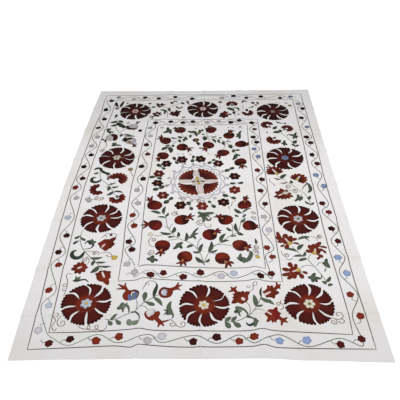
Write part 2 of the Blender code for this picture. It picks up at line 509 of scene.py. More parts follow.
# A band along a route: half width from its profile, a low arch across, threads slanting over it
def layBand(family, dye, points, width, profile="leaf", step=0.6, cells=5, second=None, layer=0,
            height=1.0, threadAlong=False):
    route = smoothRoute(points, step)
    length = np.concatenate([[0], np.cumsum(np.hypot(*np.diff(route, axis=0).T))])
    share = length / length[-1]
    half = np.maximum(width / 2 * profiles[profile](share), needlework["leastWidth"])
    slope = np.gradient(route, axis=0)
    slope /= np.maximum(np.hypot(*slope.T), 1e-6)[:, None]
    side = np.stack([-slope[:, 1], slope[:, 0]], -1)
    v = np.linspace(-1, 1, cells)
    plan = route[:, None] + side[:, None] * (half[:, None] * v[None])[..., None]
    rise = needlework["satin"] * height * np.sqrt(1 - np.abs(v) ** 2.6)[None] * np.ones((len(route), 1))
    rise = rise * np.minimum(1, 0.25 + 6 * np.minimum(share, 1 - share))[:, None]
    edge = np.abs(v)[None] * np.ones((len(route), 1))
    colour = shaded(dye, edge, second, share[:, None] * np.ones((1, cells)))
    acrossBand, alongBand = half[:, None] * v[None] / 100, length[:, None] * np.ones((1, cells)) / 100
    if threadAlong:
        thread = np.stack([acrossBand, alongBand], -1)
    else:
        thread = np.stack([alongBand + acrossBand * 0.8, acrossBand], -1)
    layPatch(family, dye, plan, rise, colour, thread, layer)


def layLine(family, dye, points, width=needlework["lineWidth"], step=0.9):  # a line of chain stitch
    layBand(family, dye, points, width, "stem", step, 4, height=needlework["line"] / needlework["satin"],
            threadAlong=True)


def bent(base, tip, bend):          # base, a point half way that stands off by a share of the length, tip
    base, tip = np.array(base, float), np.array(tip, float)
    run = tip - base
    return [base, (base + tip) / 2 + bend * np.array([-run[1], run[0]]), tip]


# A radius with rounded lobes of slightly unlike size, deeper towards the front where there is one
def lobed(radius, lobes, depth, turn=0.0, seed=0.0, front=None):
    def outline(angle):
        notch = 1 - np.abs(np.cos((angle - turn) * lobes / 2)) ** 0.7
        reach = 1.0 if front is None else 0.3 + 0.7 * np.cos((angle - front) / 2) ** 2
        unlike = 0.03 * np.sin(2 * angle + seed) + 0.025 * np.sin(3 * angle + 2.3 * seed)
        return radius * (1 - depth * notch * reach + unlike)
    return outline


# A round body whose teeth follow the size of a sine, with arms that fall away by a power of the angle
# from given tips: x, y, half width in degrees
def burst(x, y, radius, teeth, spikes):
    def outline(angle):
        reach = radius * (1 - 0.07 * (1 - np.abs(np.sin(teeth * angle / 2))))
        for tipX, tipY, half in spikes:
            off = np.abs((angle - math.atan2(tipY - y, tipX - x) + math.pi) % (2 * math.pi) - math.pi)
            arm = np.clip(1 - off / math.radians(half), 0, 1) ** 0.75
            reach = np.maximum(reach, radius * 0.9 + (math.hypot(tipX - x, tipY - y) - radius * 0.9) * arm)
        return reach
    return outline


def even(radius, squash=1.0, turn=0.0):     # an oval: radius over the root of its squared cosine and sine
    return lambda angle: radius / np.sqrt(np.cos(angle - turn) ** 2 + (np.sin(angle - turn) / squash) ** 2)


# Frame lines in chain stitch, a route for each side from corner to corner: foot, right, head and left,
# through points that wander as the hand did, in centimetres
frameWidth = 0.56
frameLines = {
    "outer": (
        ((-80, -119.3), (-68, -118.7), (-52, -117.8), (-40, -117.2), (-32, -117.8), (-27, -116.5),
         (-10, -117.6), (20, -117.3), (29.5, -116.7), (38, -117.8), (60, -118.2), (80.8, -118.3)),
        ((80.8, -118.3), (80.5, -100), (79.9, -80), (79.8, -60), (79.5, -40), (79.8, -29), (79.5, -10),
         (79.5, 10), (80.2, 35), (80, 60), (80, 80), (79.8, 100), (79.7, 118)),
        ((79.7, 118), (50, 117.8), (29, 117.2), (8, 117.8), (-18, 117.6), (-28, 118.2), (-52, 117.5),
         (-81.2, 117.6)),
        ((-81.2, 117.6), (-81.8, 104), (-81.2, 90), (-82, 82), (-82.8, 70), (-83.5, 50), (-84.4, 10),
         (-85, -5), (-84.3, -30), (-83.5, -50), (-82.2, -77), (-81.2, -90), (-81, -101), (-80, -119.3))),
    "second": (
        ((-72.3, -110.2), (-60, -110), (-45, -109.2), (-29.5, -108), (-20, -108.8), (0, -109), (20, -108.9),
         (29.5, -108.2), (40, -109), (55, -109.8), (71.9, -110.7)),
        ((71.9, -110.7), (72.3, -100), (71.8, -80), (71, -60), (70.7, -40), (70.7, 0), (71, 20), (71.8, 50),
         (71.8, 80), (72, 109)),
        ((72, 109), (50, 109.3), (29, 108.6), (10, 109.3), (-18, 109.2), (-28, 109.8), (-50, 109.2),
         (-72.3, 109)),
        ((-72.3, 109), (-72.7, 90), (-74.2, 65), (-75, 50), (-76, 25), (-76.5, 0), (-76, -25), (-75.3, -45),
         (-74.7, -60), (-74.3, -75), (-73.5, -85), (-73, -95), (-72.3, -110.2))),
    "third": (
        ((-43.5, -79), (-35, -78.3), (-29.5, -77), (-20, -77.8), (0, -79), (10, -79.2), (20, -78.8),
         (29, -78.2), (36, -79), (42.5, -79.3)),
        ((42.5, -79.3), (42.3, -60), (42, -40), (41.5, 0), (41.3, 60), (41.2, 79.3)),
        ((41.2, 79.3), (20, 79.6), (0, 79.3), (-26, 79.8), (-42.8, 79.3)),
        ((-42.8, 79.3), (-43.5, 60), (-45, 20), (-46, 0), (-45.7, -20), (-45, -40), (-43.8, -60),
         (-43.5, -79))),
    "fourth": (
        ((-33.8, -69.3), (-28, -68.3), (-15, -69), (0, -69.8), (15, -70), (28, -69.7), (34.5, -70.2)),
        ((34.5, -70.2), (34.3, -50), (33.5, -30), (33, 0), (32.8, 20), (32.5, 50), (33, 72)),
        ((33, 72), (10, 71.4), (-15, 71.6), (-34.5, 71.8)),
        ((-34.5, 71.8), (-35, 50), (-35.3, 20), (-36, 0), (-35.5, -25), (-34.5, -50), (-33.8, -69.3))),
}

# Rosettes, in centimetres. places: x, y, heart dye, heart's inner dye, heart radius, angles of the eight
# slits (or angle, bulge and turn, where a slit differs), angles of the slits that are dull
rosettes = {
    "radius": 12.7, "ring": 5.1, "inner": 0.36, "teeth": 5, "toothDepth": 0.056, "slitWidth": 1.1,
    "bulge": 6.0, "turnOut": 2.5,
    # the heart's petals and eye, as shares of its radius
    "petals": 6, "petalOut": 0.62, "petalSize": 0.44, "eyeSize": 0.34,
    "places": (
        (-57.5, -93.3, "sky", "gold", 2.9, ((17, 8, -5), (51, 3, 6.5), (87, 4, 17), (147, 9, 3),
         (199, 6, -2), (239, 6, 0), (287, 5, -7), (331, 5, -4)), ()),
        (1.7, -94.2, "cream", "gold", 2.7, (78, 30, -4, -53, -98, -136, 180, 131), (30,)),
        (54.3, -93.2, "cream", "olive", 2.8, (86, 45, 5, -40, -80, -128, 182, 135), ()),
        (-60.5, -31, "lilac", "sage", 2.8, (78, 38, 4, -48, -92, -143, 167, 132), ()),
        (57, -32, "lilac", "olive", 2.8, (80, 39, -8, -53, -107, -153, 169, 130), ()),
        (-60, 30, "cream", "leaf", 2.8, (77, 30, -8, -50, -90, -140, 172, 130), (-8, 172)),
        (56.5, 29, "blue", "indigo", 2.5, (110, 60, 20, -31, -73, -130, -173, 147), (-31,)),
        (-54.5, 92, "blush", "rosewood", 2.8, (92, 57, 12, -26, -78, -123, 192, 147), (12, 192)),
        (-0.8, 94.5, "shell", "khaki", 2.5, (90, 57, 7, -43, -90, -130, 190, 147), (190,)),
        (54, 90, "ash", "grey", 2.1, (107, 60, 16, -26, -60, -113, -143, 177), (16,))),
}


# One petal: a grid from slit to slit and from the ring to a toothed rim. A slit starts at its angle,
# swells clockwise by a sine and turns back outwards by a square
def layPetal(centre, radius, first, second):
    s = np.linspace(0, 1, 10)[:, None]
    u = np.linspace(0, 1, 8 * rosettes["teeth"] + 1)[None]
    inner = rosettes["inner"] * radius
    r = inner + (radius - inner) * s
    gap = rosettes["slitWidth"] * (0.4 + 0.6 * ridge(s - 0.62, 0.75)) / 2 * smooth(0.04, 0.25, s)
    ends = []
    for (angle, bulge, turn, width), hand in ((first, 1), (second, -1)):
        ends.append(np.radians(angle - bulge * np.sin(np.pi * s) + turn * s * s) + hand * gap * width / r)
    angle = ends[0] + (ends[1] - ends[0]) * u
    scallop = np.abs(np.sin(np.pi * (rosettes["teeth"] * u))) ** 0.7
    corner = 0.05 * (1 - smooth(0, 0.07, u) * smooth(0, 0.07, 1 - u))
    rim = 1 - rosettes["toothDepth"] * (1 - scallop) * s ** 5 - corner * s ** 4
    reach = r * rim * (1 + 0.02 * np.sin(3 * angle + centre[0]) * s)
    plan = np.stack([centre[0] + reach * np.cos(angle), centre[1] + reach * np.sin(angle)], -1)
    edge = np.maximum(np.abs(2 * u - 1) ** 2.2, (s ** 4) * np.ones(u.shape))
    rise = needlework["satin"] * 1.15 * np.sqrt(np.clip(1 - np.abs(2 * u - 1) ** 7, 0, 1))
    rise = rise * np.sqrt(np.clip(1 - s ** 14, 0, 1))
    colour = shaded("maroon", np.zeros(edge.shape), "rust", (1 - smooth(0.0, 0.14, s)) * np.ones(u.shape))
    night = (0.9 * smooth(0.15, 1.0, edge) * smooth(0.08, 0.4, s))[..., None]
    colour = colour * (1 - night) + linear(dyes["dark"][1]) * 0.5 * night
    width = (reach * (u - 0.5) * (ends[1] - ends[0])) / 100
    thread = np.stack([width, reach / 100], -1)
    layPatch("rosettes", "maroon", plan, rise, colour, thread)


# A rosette: a petal between each slit and the next, a ring, the heart's petals evenly round a circle, and
# its eye. A slit that the table gives only an angle gets its bulge and turn by chance
def layRosette(x, y, heart, inner, heartRadius, slits, dull):
    radius = rosettes["radius"] * (1 + 0.02 * math.sin(x + 2 * y))
    cuts = []
    for slit in slits:
        if isinstance(slit, tuple):
            angle, bulge, turn = slit
        else:
            angle, bulge = slit, rosettes["bulge"] + 4 * (dice.random() - 0.5)
            turn = rosettes["turnOut"] + 6 * (dice.random() - 0.5)
        cuts.append((angle % 360, bulge, turn, 0.35 if slit in dull else 0.8 + 0.4 * dice.random()))
    cuts.sort()
    for first, second in zip(cuts, cuts[1:] + [(cuts[0][0] + 360, *cuts[0][1:])]):
        layPetal((x, y), radius, first, second)
    ringDye, ringShade = ("rust", "brick") if y < 0 else ("brick", "maroon")
    layBlob("rosettes", ringDye, x, y, even(rosettes["ring"]), ringShade, x, cells=15, height=1.1)
    for i in range(rosettes["petals"]):
        angle = math.radians(360 / rosettes["petals"] * i + 11 * x)
        out = rosettes["petalOut"] * heartRadius
        petal = even(heartRadius * rosettes["petalSize"], 0.86, angle)
        layBlob("hearts", heart, x + out * math.cos(angle), y + out * math.sin(angle), petal, stitch=angle,
                cells=7, layer=1.5)
    layBlob("hearts", inner, x, y, lobed(heartRadius * rosettes["eyeSize"], 5, 0.1), cells=7, layer=2.2)


# Buds along the lanes, in the order in which the vine meets them: x, y, dye
outerBuds = {
    "foot": ((-70.7, -116, "maroon"), (-61.2, -113.7, "dark"), (-48.7, -114.5, "rust"),
             (-38.2, -112.2, "rust"), (-24.5, -114.3, "grey"), (-17.8, -112, "lilac"), (-3, -114.8, "dark"),
             (8, -112.3, "dark"), (18.5, -114.4, "rust"), (25.6, -112, "rust"), (37.3, -114.2, "blue"),
             (50, -113.8, "blue"), (65.2, -116, "maroon"), (75.5, -113, "maroon")),
    "right": ((77.8, -100.3, "rust"), (75.7, -87.3, "rust"), (77, -73.3, "blue"), (74.3, -62.6, "blue"),
              (77, -50, "maroon"), (75.3, -40, "dark"), (76.3, -26, "crimson"), (73.8, -18, "maroon"),
              (77.5, -2, "blue"), (74.5, 10, "blue"), (77.5, 22.5, "maroon"), (75.5, 32.3, "dark"),
              (77, 47.3, "maroon"), (75, 54.5, "dark"), (77.5, 68, "blue"), (75.0, 80.8, "dark"),
              (77.8, 94, "dark"), (75.4, 102, "sky")),
    "head": ((70.7, 113.5, "blue"), (62, 111.5, "dark"), (46.5, 114, "dark"), (34.5, 112.3, "maroon"),
             (24, 115.3, "dark"), (14.5, 112.5, "grey"), (-10, 111.5, "dark"), (-24, 114.3, "dark"),
             (-37.5, 112.2, "maroon"), (-49, 113.8, "maroon"), (-58, 111.5, "grey"), (-71, 114.5, "sky")),
    "left": ((-76, 108.8, "dark"), (-78.3, 94.2, "black"), (-77.3, 80.7, "dark"), (-79.8, 68, "maroon"),
             (-78.3, 56, "grey"), (-80.6, 44.5, "grey"), (-78.8, 33.5, "black"), (-81.3, 20, "black"),
             (-79.6, 7.2, "dark"), (-82.3, -2.5, "rust"), (-79.6, -12.5, "grey"), (-81, -30.5, "sky"),
             (-78.3, -45.5, "dark"), (-80, -58.5, "dark"), (-77.7, -68, "rust"), (-78.7, -85, "rust"),
             (-76.2, -94.5, "sky"), (-77.7, -109, "lilac")),
}
innerBuds = {
    "foot": ((-35.5, -73, "grey"), (-26.7, -74.6, "maroon"), (-20, -73.3, "maroon"), (-9.3, -76, "maroon"),
             (-0.2, -73.3, "maroon"), (10.7, -75.5, "lilac"), (17.5, -73.6, "sky"), (31.5, -75.5, "dark"),
             (37.3, -73.8, "maroon")),
    "right": ((39, -62, "rust"), (36.6, -55, "rust"), (39, -41, "lilac"), (37, -30, "grey"),
              (38.7, -18.3, "dark"), (36.9, -5.7, "maroon"), (38.7, 5.7, "maroon"), (36.5, 15.5, "crimson"),
              (38.1, 30.5, "blue"), (36, 40, "blue"), (38.4, 48.3, "dark"), (36.3, 55, "dark"),
              (38.0, 65, "brick"), (36.5, 74.2, "maroon")),
    "head": ((27, 77, "dark"), (20.5, 75, "dark"), (11.5, 76.5, "grey"), (2.5, 75.2, "grey"),
             (-8.5, 76.3, "dark"), (-16, 75, "maroon"), (-25.5, 76.5, "dark"), (-37, 75.0, "dark")),
    "left": ((-40.4, 67.5, "sky"), (-39.2, 57, "lilac"), (-41, 45.6, "maroon"), (-39, 34, "brick"),
             (-41.8, 20, "black"), (-39.3, 6.6, "dark"), (-42, -5, "grey"), (-40.0, -17.5, "grey"),
             (-42, -28.5, "rust"), (-40.0, -37.5, "rust"), (-41.5, -50.5, "dark"), (-39, -56.5, "dark"),
             (-40.2, -67.5, "grey")),
}
lanes = {
    "clearance": 3.8, "footClearance": 3.3,     # from a bud's middle to the vine that passes it
    "forkBefore": 4.4, "forkOut": 1.3,          # where a bud's own stem leaves the vine
    "hookBefore": 3.6, "hookOut": 0.8, "hookWidth": 0.36, "stalk": 0.7,
    "budRadius": 2.15, "lobeDepth": 0.3, "vineWidth": 0.5,
    # centre of a lane: across at the ends, bow at the middle, and the half length over which it bows
    "outer": {"foot": (-113.8, 0, 80), "right": (76.1, -0.6, 118), "head": (113.2, 0, 80),
              "left": (-77.0, -3.3, 118)},
    "inner": {"foot": (-74.1, 0, 40), "right": (37.8, 0, 76), "head": (75.7, 0, 40),
              "left": (-39.2, -1.3, 76)},
}


# A lane: the vine passes each bud on the other side of the lane, and a short stem leaves it just before
# the bud and hooks round to it
def layLane(buds, centres):
    travel = {"foot": (1, 0), "right": (0, 1), "head": (-1, 0), "left": (0, -1)}
    passing = []
    for side in ("foot", "right", "head", "left"):
        ahead = np.array(travel[side], float)
        out = np.array([ahead[1], -ahead[0]])
        across, bow, halfRun = centres[side]
        for x, y, dye in buds[side]:
            bud = np.array([x, y])
            place = bud @ np.abs(ahead)
            lane = across + bow * (1 - (place / halfRun) ** 2)
            hand = 1.0 if (bud @ np.abs(out) - lane) * out.sum() > 0 else -1.0
            radius = lanes["budRadius"] * (0.94 + 0.14 * dice.random())
            turn = math.atan2(-hand * out[1], -hand * out[0]) + 0.5 * (dice.random() - 0.5)
            lobes = 5 if dice.random() > 0.5 else 4
            front = math.atan2(ahead[1], ahead[0])
            outline = lobed(radius, lobes + 1, lanes["lobeDepth"], turn, 6 * dice.random(), front)
            layBlob("buds", dye, x, y, outline, cells=11, stitch=turn)
            aside = out * hand * lanes["hookOut"]
            stalk = [bud - ahead * 0.4, bud - ahead * (radius + lanes["stalk"]) - aside]
            layBand("buds", dye, stalk, 1.0, "horn", cells=4)
            clearance = lanes["footClearance" if side == "foot" else "clearance"]
            passing.append(bud - out * hand * clearance)
            fork = bud - ahead * lanes["forkBefore"] - out * hand * (clearance - lanes["forkOut"])
            hook = [fork, bud - ahead * lanes["hookBefore"] - aside, bud - ahead * (radius + 0.4)]
            layLine("tendrils", "vine", hook, lanes["hookWidth"], 0.8)
    passing.append(passing[0])
    layLine("vines", "vine", passing, lanes["vineWidth"])


# Pomegranates of the field: x, y, radius, first dye, second dye, crown's root, crown's tips, spot
pomegranates = (
    (-27.5, -37, 4.5, "garnet", "maroon", (-31.5, -36.6), ((-34.5, -33.5), (-35.8, -36.8), (-34.7, -39.7)),
     None),
    (-12, -32.5, 4.6, "garnet", "dark", (-8, -30.5), ((-6.5, -27), (-4.5, -29), (-5.3, -33)), (-9, -32)),
    (14, -32.5, 4.6, "garnet", "dark", (10.5, -30.2), ((8.5, -28), (11.5, -27.5), (7, -30)), (12, -31.5)),
    (28, -38, 4.4, "garnet", "dark", (31.5, -38.2), ((33, -37), (33, -39.5)), None),
    (4.7, -44.8, 4.6, "garnet", "dark", (8, -42.5), ((9.8, -39.8), (11.3, -41.5), (11, -43.7)), (7.5, -44)),
    (-22, -53.5, 4.6, "garnet", "maroon", (-22.5, -57.5), ((-25.5, -60), (-22.8, -61.5), (-20.5, -59.8)),
     (-22.5, -57)),
    (21.7, -53.3, 4.5, "rust", "maroon", (25, -55.2), ((27.8, -53.8), (27.8, -56), (25.8, -58.3)),
     (24.8, -55.5)),
    (-9, -62, 4.5, "rust", "maroon", (-10.3, -65.5), ((-13.3, -67.2), (-11.2, -68.7), (-8.3, -68.5)),
     (-10.2, -64.8)),
    (11.5, -63, 4.5, "rust", "maroon", (14, -66), ((17.5, -67), (16, -69), (13, -70)), (13.3, -66)),
    (-29.5, -19.6, 4.8, "garnet", "maroon", (-31.8, -15.8), ((-34.3, -12), (-31.5, -11.5), (-34.8, -14.2)),
     None),
    (26, -19.5, 4.4, "garnet", "maroon", (26.6, -15.6), ((26, -12), (28.2, -11.5), (29, -13.5)),
     (26.3, -16.8)),
    (25.5, 24.2, 4.4, "brick", "dark", (26.3, 20.3), ((24, 17.4), (26.5, 16.4), (29.5, 17.8)), (26.5, 21)),
    (-28, 32, 4.5, "garnet", "maroon", (-30.6, 29), ((-33, 28.5), (-32, 26), (-30.5, 25)), (-30.8, 29.5)),
    (14, 35.2, 4.5, "garnet", "maroon", (10.9, 32.5), ((8, 32), (9, 29.5), (11.3, 28.3)), None),
    (-15, 42.5, 4.5, "garnet", "dark", (-11, 40.8), ((-7, 41.5), (-8.5, 38), (-10.5, 36.5)), (-12, 41.5)),
    (3.6, 44.8, 4.5, "garnet", "maroon", (1.8, 41), ((-3, 41), (-0.5, 38), (2, 36.8)), (2, 42)),
    (27, 45.5, 4.4, "garnet", "dark", (30.8, 45.6), ((32.8, 47.8), (33, 45.5), (31.5, 43.5)), None),
    (-27.6, 50.7, 4.5, "brick", "maroon", (-30, 53.5), ((-34, 53), (-33, 56), (-31, 58)), (-29.5, 52.8)),
    (-5.5, 51.3, 2.5, "dark", "olive", (-4.2, 47.5), ((-3.5, 44.5), (-2.6, 45.4)), (-5.7, 51.6)),
    (18.7, 57, 4.4, "garnet", "dark", (19.8, 60.6), ((18.5, 63.5), (20.5, 64), (22.5, 63)), (20, 60)),
    (-17.5, 64.7, 4.5, "brick", "maroon", (-20.5, 66.8), ((-22.5, 68.2), (-21.6, 69), (-23, 66.6)),
     (-19, 66.8)),
    (5.5, 64.7, 4.5, "garnet", "maroon", (4.6, 68), ((4, 70.4), (5.6, 70)), (4.6, 68)),
)


fruit = {
    "lobes": 11, "lobeDepth": 0.04, "neck": 0.6, "spot": 1.1,
    "crown": 1.2, "prong": 2.1, "prongReach": 1.12,
}


# A pomegranate: a body with faint lobes, a neck, and a crown of prongs whose tips lie a little past theirs
def layPomegranate(x, y, radius, dye, second, root, tips, spot):
    lean = math.atan2(root[1] - y, root[0] - x)
    outline = lobed(radius, fruit["lobes"], fruit["lobeDepth"], lean, x)
    layBlob("pomegranates", dye, x, y, outline, second, lean + 0.6 * math.sin(x + y), lean, 13)
    neck = [((x + root[0]) / 2, (y + root[1]) / 2), root]
    layBand("pomegranates", second, neck, radius * fruit["neck"], "horn")
    layBlob("crowns", dye, *root, even(fruit["crown"]), cells=7)
    for tip in tips:
        reach = [root[axis] + fruit["prongReach"] * (tip[axis] - root[axis]) for axis in (0, 1)]
        layBand("crowns", dye, bent(root, reach, 0.06), fruit["prong"], "finger", 0.5, second="maroon")
    if spot:
        layBlob("hearts", "tan", *spot, even(fruit["spot"], 0.75, lean), cells=7, layer=0.8)


# The middle: four toothed quarters round a small star, two scalloped pale rings, dots and twelve flowers
medallion = {
    "centre": (-3, 3.4), "disc": 14.1, "inner": 4.6, "teeth": 7, "toothDepth": 0.085, "boss": 4.2,
    "eye": 0.9,
    # quarters: from and to in degrees at the rim, and how far each end is drawn in at the middle
    "quarters": ((9, 94, 14, 16), (103, 172, 22, 14), (184, 274, 36, 20), (287, 361, 16, 26)),
    # arms of the cross and of the star on it: from x, y to x, y, width, dye
    "arms": ((-3.6, 7.5, -5, 15.9, 4.2, "shell"), (-2.6, 0, -0.4, -9.4, 4.2, "shell"),
             (-7, 3.3, -16, 3.9, 3.9, "shell"), (0.5, 3.8, 10.2, 4.4, 3.7, "shell")),
    "star": ((-3.4, 3.8, -3.7, 8.6, 2.2, "gold"), (-3.9, 3.4, -8, 3.4, 1.6, "olive"),
             (-2, 3.5, 1.8, 3.6, 1.6, "olive"), (-2.8, 3.2, -2.3, -0.4, 1.9, "gold")),
    # scalloped rings: radius, scallops, depth, width, dye
    "rings": ((14.9, 24, 0.5, 0.7, "lilac"), (16.2, 13, 1.7, 1.1, "lilac")), "dotRing": 19.6, "dots": 16,
    "dotRadius": 1.25, "dotTurn": 11, "flowerRadius": 4.0, "flowerHeart": 0.95,
    "flowers": ((-25, 23, "dark", "rosewood"), (-14.5, 27.3, "maroon", "rosewood"),
                (-1.8, 27.7, "dark", "tan"), (10.3, 23, "maroon", "blush"), (21, 9, "dark", "rosewood"),
                (20.5, -5.2, "rust", "blush"), (13.2, -16.8, "dark", "rosewood"),
                (0, -20.5, "rust", "blush"), (-13.5, -19.5, "dark", "tan"), (-25, -10, "brick", "blush"),
                (-29.3, 1.7, "dark", "tan"), (-29.3, 11.8, "brick", "blush")),
    # pairs of round leaves on one stem: x, y, radius, x, y, radius
    "leaves": ((-33.5, 8.2, 1.5, -28.5, 7, 1.3), (-30, -4.5, 1.5, -26.5, -2.5, 1.4),
               (-22.3, -16.2, 1.6, -19.7, -13.2, 1.3), (-8.5, -17.8, 1.4, -6.7, -22.5, 1.2),
               (4.5, -16.5, 1.0, 7, -20.5, 1.3), (14.5, -10.5, 1.5, 19.5, -12.8, 1.3),
               (19.5, 1.2, 1.4, 24.6, 1.5, 1.4), (16.3, 15.3, 1.5, 19.5, 17.5, 1.4),
               (4.5, 24, 1.3, 7.2, 27, 1.1), (-7.3, 26.3, 1.4, -6.8, 30, 1.1),
               (-18, 24.3, 1.3, -20, 28.6, 1.3), (-29.8, 20.7, 1.6, -26.6, 17.8, 1.2)),
}


# A quarter, crescent or fan: a grid from an inner to an outer radius, whose outer rim has rounded teeth
# and whose ends are drawn in by a power of a sine
def laySector(family, dye, centre, inner, outer, start, end, teeth, depth=0.09, ends=0.3, second=None,
              stretch=0.0, pinch=(0, 0)):
    u = np.linspace(0, 1, max(12, 6 * teeth) + 1)[None]
    s = np.linspace(0, 1, 7)[:, None]
    angle = np.radians(start + pinch[0] * (1 - s) + (end - start - (pinch[0] + pinch[1]) * (1 - s)) * u)
    full = np.sin(np.pi * (0.04 + 0.92 * u)) ** ends * (1 + stretch * np.sin(np.pi * u) ** 2)
    rim = inner + (outer * (1 - depth * (1 - np.abs(np.sin(np.pi * teeth * u)) ** 0.55)) - inner) * full
    radius = inner + (rim - inner) * s
    plan = np.stack([centre[0] + radius * np.cos(angle), centre[1] + radius * np.sin(angle)], -1)
    edge = np.maximum(np.abs(2 * u - 1) ** 4, np.abs(2 * s - 1) ** 3)
    rise = needlework["satin"] * np.sqrt(np.clip(1 - np.abs(2 * u - 1) ** 9, 0, 1)) * np.sqrt(
        np.clip(1 - np.abs(2 * s - 1) ** 5, 0, 1))
    colour = shaded(dye, edge, second, smooth(0.15, 0.6, 1 - s) * np.ones(u.shape))
    thread = np.stack([radius * (angle - angle.mean()) / 100, radius / 100], -1)
    layPatch(family, dye, plan, rise, colour, thread)


# Quarters, arms and star on a pale boss, rings whose radius follows the size of a sine, dots, flowers
def layMedallion():
    x, y = medallion["centre"]
    layBlob("hearts", "shell", x, y, even(medallion["boss"]), cells=11)
    for start, end, *pinch in medallion["quarters"]:
        laySector("medallion", "rust", (x, y), medallion["inner"], medallion["disc"], start, end,
                  medallion["teeth"], medallion["toothDepth"], 0.03, "maroon", pinch=pinch)
    for ax, ay, bx, by, width, dye in medallion["arms"] + medallion["star"]:
        layBand("hearts", dye, [(ax, ay), (bx, by)], width, "lens", layer=0.0 if dye == "shell" else 1.0)
    layBlob("hearts", "dark", x, y + 0.1, even(medallion["eye"]), cells=7, layer=1.6)
    for radius, scallops, depth, width, dye in medallion["rings"]:
        around = np.radians(np.linspace(0, 360, scallops * 8 + 1))
        wave = radius + depth * np.abs(np.sin(around * scallops / 2))
        ring = np.stack([x + wave * np.cos(around), y + wave * np.sin(around)], -1)
        layLine("medallion", dye, ring, width, 1.0)
    for i in range(medallion["dots"]):
        angle = math.radians(360 / medallion["dots"] * i + medallion["dotTurn"])
        dx, dy = x + medallion["dotRing"] * math.cos(angle), y + medallion["dotRing"] * math.sin(angle)
        layBlob("medallion", "lilac", dx, dy, even(medallion["dotRadius"]), cells=5)
    for fx, fy, dye, heart in medallion["flowers"]:
        layBlob("starflowers", dye, fx, fy, lobed(medallion["flowerRadius"], 6, 0.3, fx, fy), cells=15)
        layBlob("hearts", heart, fx, fy, lobed(medallion["flowerHeart"], 5, 0.15, fx), cells=7, layer=1.2)
    for ax, ay, ar, bx, by, br in medallion["leaves"]:
        turn = math.atan2(by - ay, bx - ax)
        layBlob("leaves", "moss", ax, ay, even(ar * 1.4, 0.75, turn), "leaf", turn, turn, 9)
        layBlob("leaves", "moss", bx, by, even(br * 1.4, 0.75, turn), "leaf", turn + 3, turn, 9)
        layLine("tendrils", "vine", [(ax, ay), (bx, by)], 0.4)


# Leaves: base x, y, tip x, y, width and, where it isn't the plain green, a dye. A minus width is a paddle
fieldLeaves = (
    (-17.2, -43.7, -16, -38.2, 2.0), (-17.5, -44.3, -24.5, -42.8, 1.8), (-13.7, -47, -13.7, -42.5, 1.6),
    (-15.5, -46.8, -19.5, -47, -1.4), (-9.2, -50.3, -9, -43, 1.9), (-4.5, -53.2, -8.5, -55.2, 1.8),
    (-0.8, -59, 1, -52, 1.7), (-0.7, -59, -5, -58, 1.4), (1.8, -67, -3.3, -62, 2.2),
    (2.3, -66.5, 4.5, -63.3, 1.5), (4, -58.5, 5.6, -50, 2.1), (4.5, -58.5, 9.3, -56.5, 1.3),
    (10.5, -50.5, 13.8, -43.8, 2.0), (10.5, -51.3, 16, -49.3, 1.5), (17.5, -42, 14.3, -38.7, 1.6),
    (20.8, -43, 20, -35, 1.9), (20.5, -43, 24.3, -45.2, 2.0), (16.3, -46.3, 20.3, -46, 1.5, "ash"),
    (22.5, -35, 26, -31.5, 1.4), (22, -30, 19.5, -28, 1.6), (24, -30.5, 26.3, -28, 1.5),
    (24, -27, 19.5, -22.5, 2.2), (24.5, -26.5, 30, -23, 1.2), (30.5, -53, 30.3, -48.3, 1.4),
    (-25, -27, -31.5, -25.5, 2.0), (-23.3, -27.5, -22.5, -20.3, 1.8), (-22, -30, -20.5, -26, 1.4),
    (-21.5, -31, -27, -30, 1.4), (-24, 55, -19, 53.5, 1.3, "ash"), (-19, 56.3, -15, 54.5, 1.6),
    (-17.8, 52, -17.2, 48, 1.4), (-15, 53, -14, 49.5, 1.4), (-13.5, 55.5, -11.5, 51.5, 1.6),
    (-9.8, 58.5, -10.2, 54, 1.2), (-3.2, 64.4, -3.9, 58, 1.4, "olive"), (-1.5, 64.5, -0.3, 62, 1.4),
    (-1, 59, 1, 58, 1.2, "pine"), (0.8, 56.3, 0.3, 50.3, 2.2), (-27.5, 44.8, -24, 45, -1.5),
    (-22.5, 45.5, -21.5, 42.5, 1.5), (-25, 43, -29.6, 38.4, 1.9), (-24.6, 43, -22.8, 35.2, 2.2),
    (6, 53, 9, 47.5, 1.3), (10.5, 52, 12.5, 47, 1.2), (11.5, 53, 13.3, 54.8, 1.2),
    (14.3, 49.5, 15.2, 44.5, 1.5), (5, 55, 10, 56.5, 1.0, "ash"), (19.5, 45.5, 20, 40.5, 2.0),
    (22.3, 39.5, 21, 35, 1.6), (22.5, 38.5, 26, 37.5, 1.5), (23, 33.5, 26, 31, 1.3),
    (23, 33.5, 20, 26.5, 1.8), (-6.5, 65.4, -5.6, 66.8, 1.2),
)
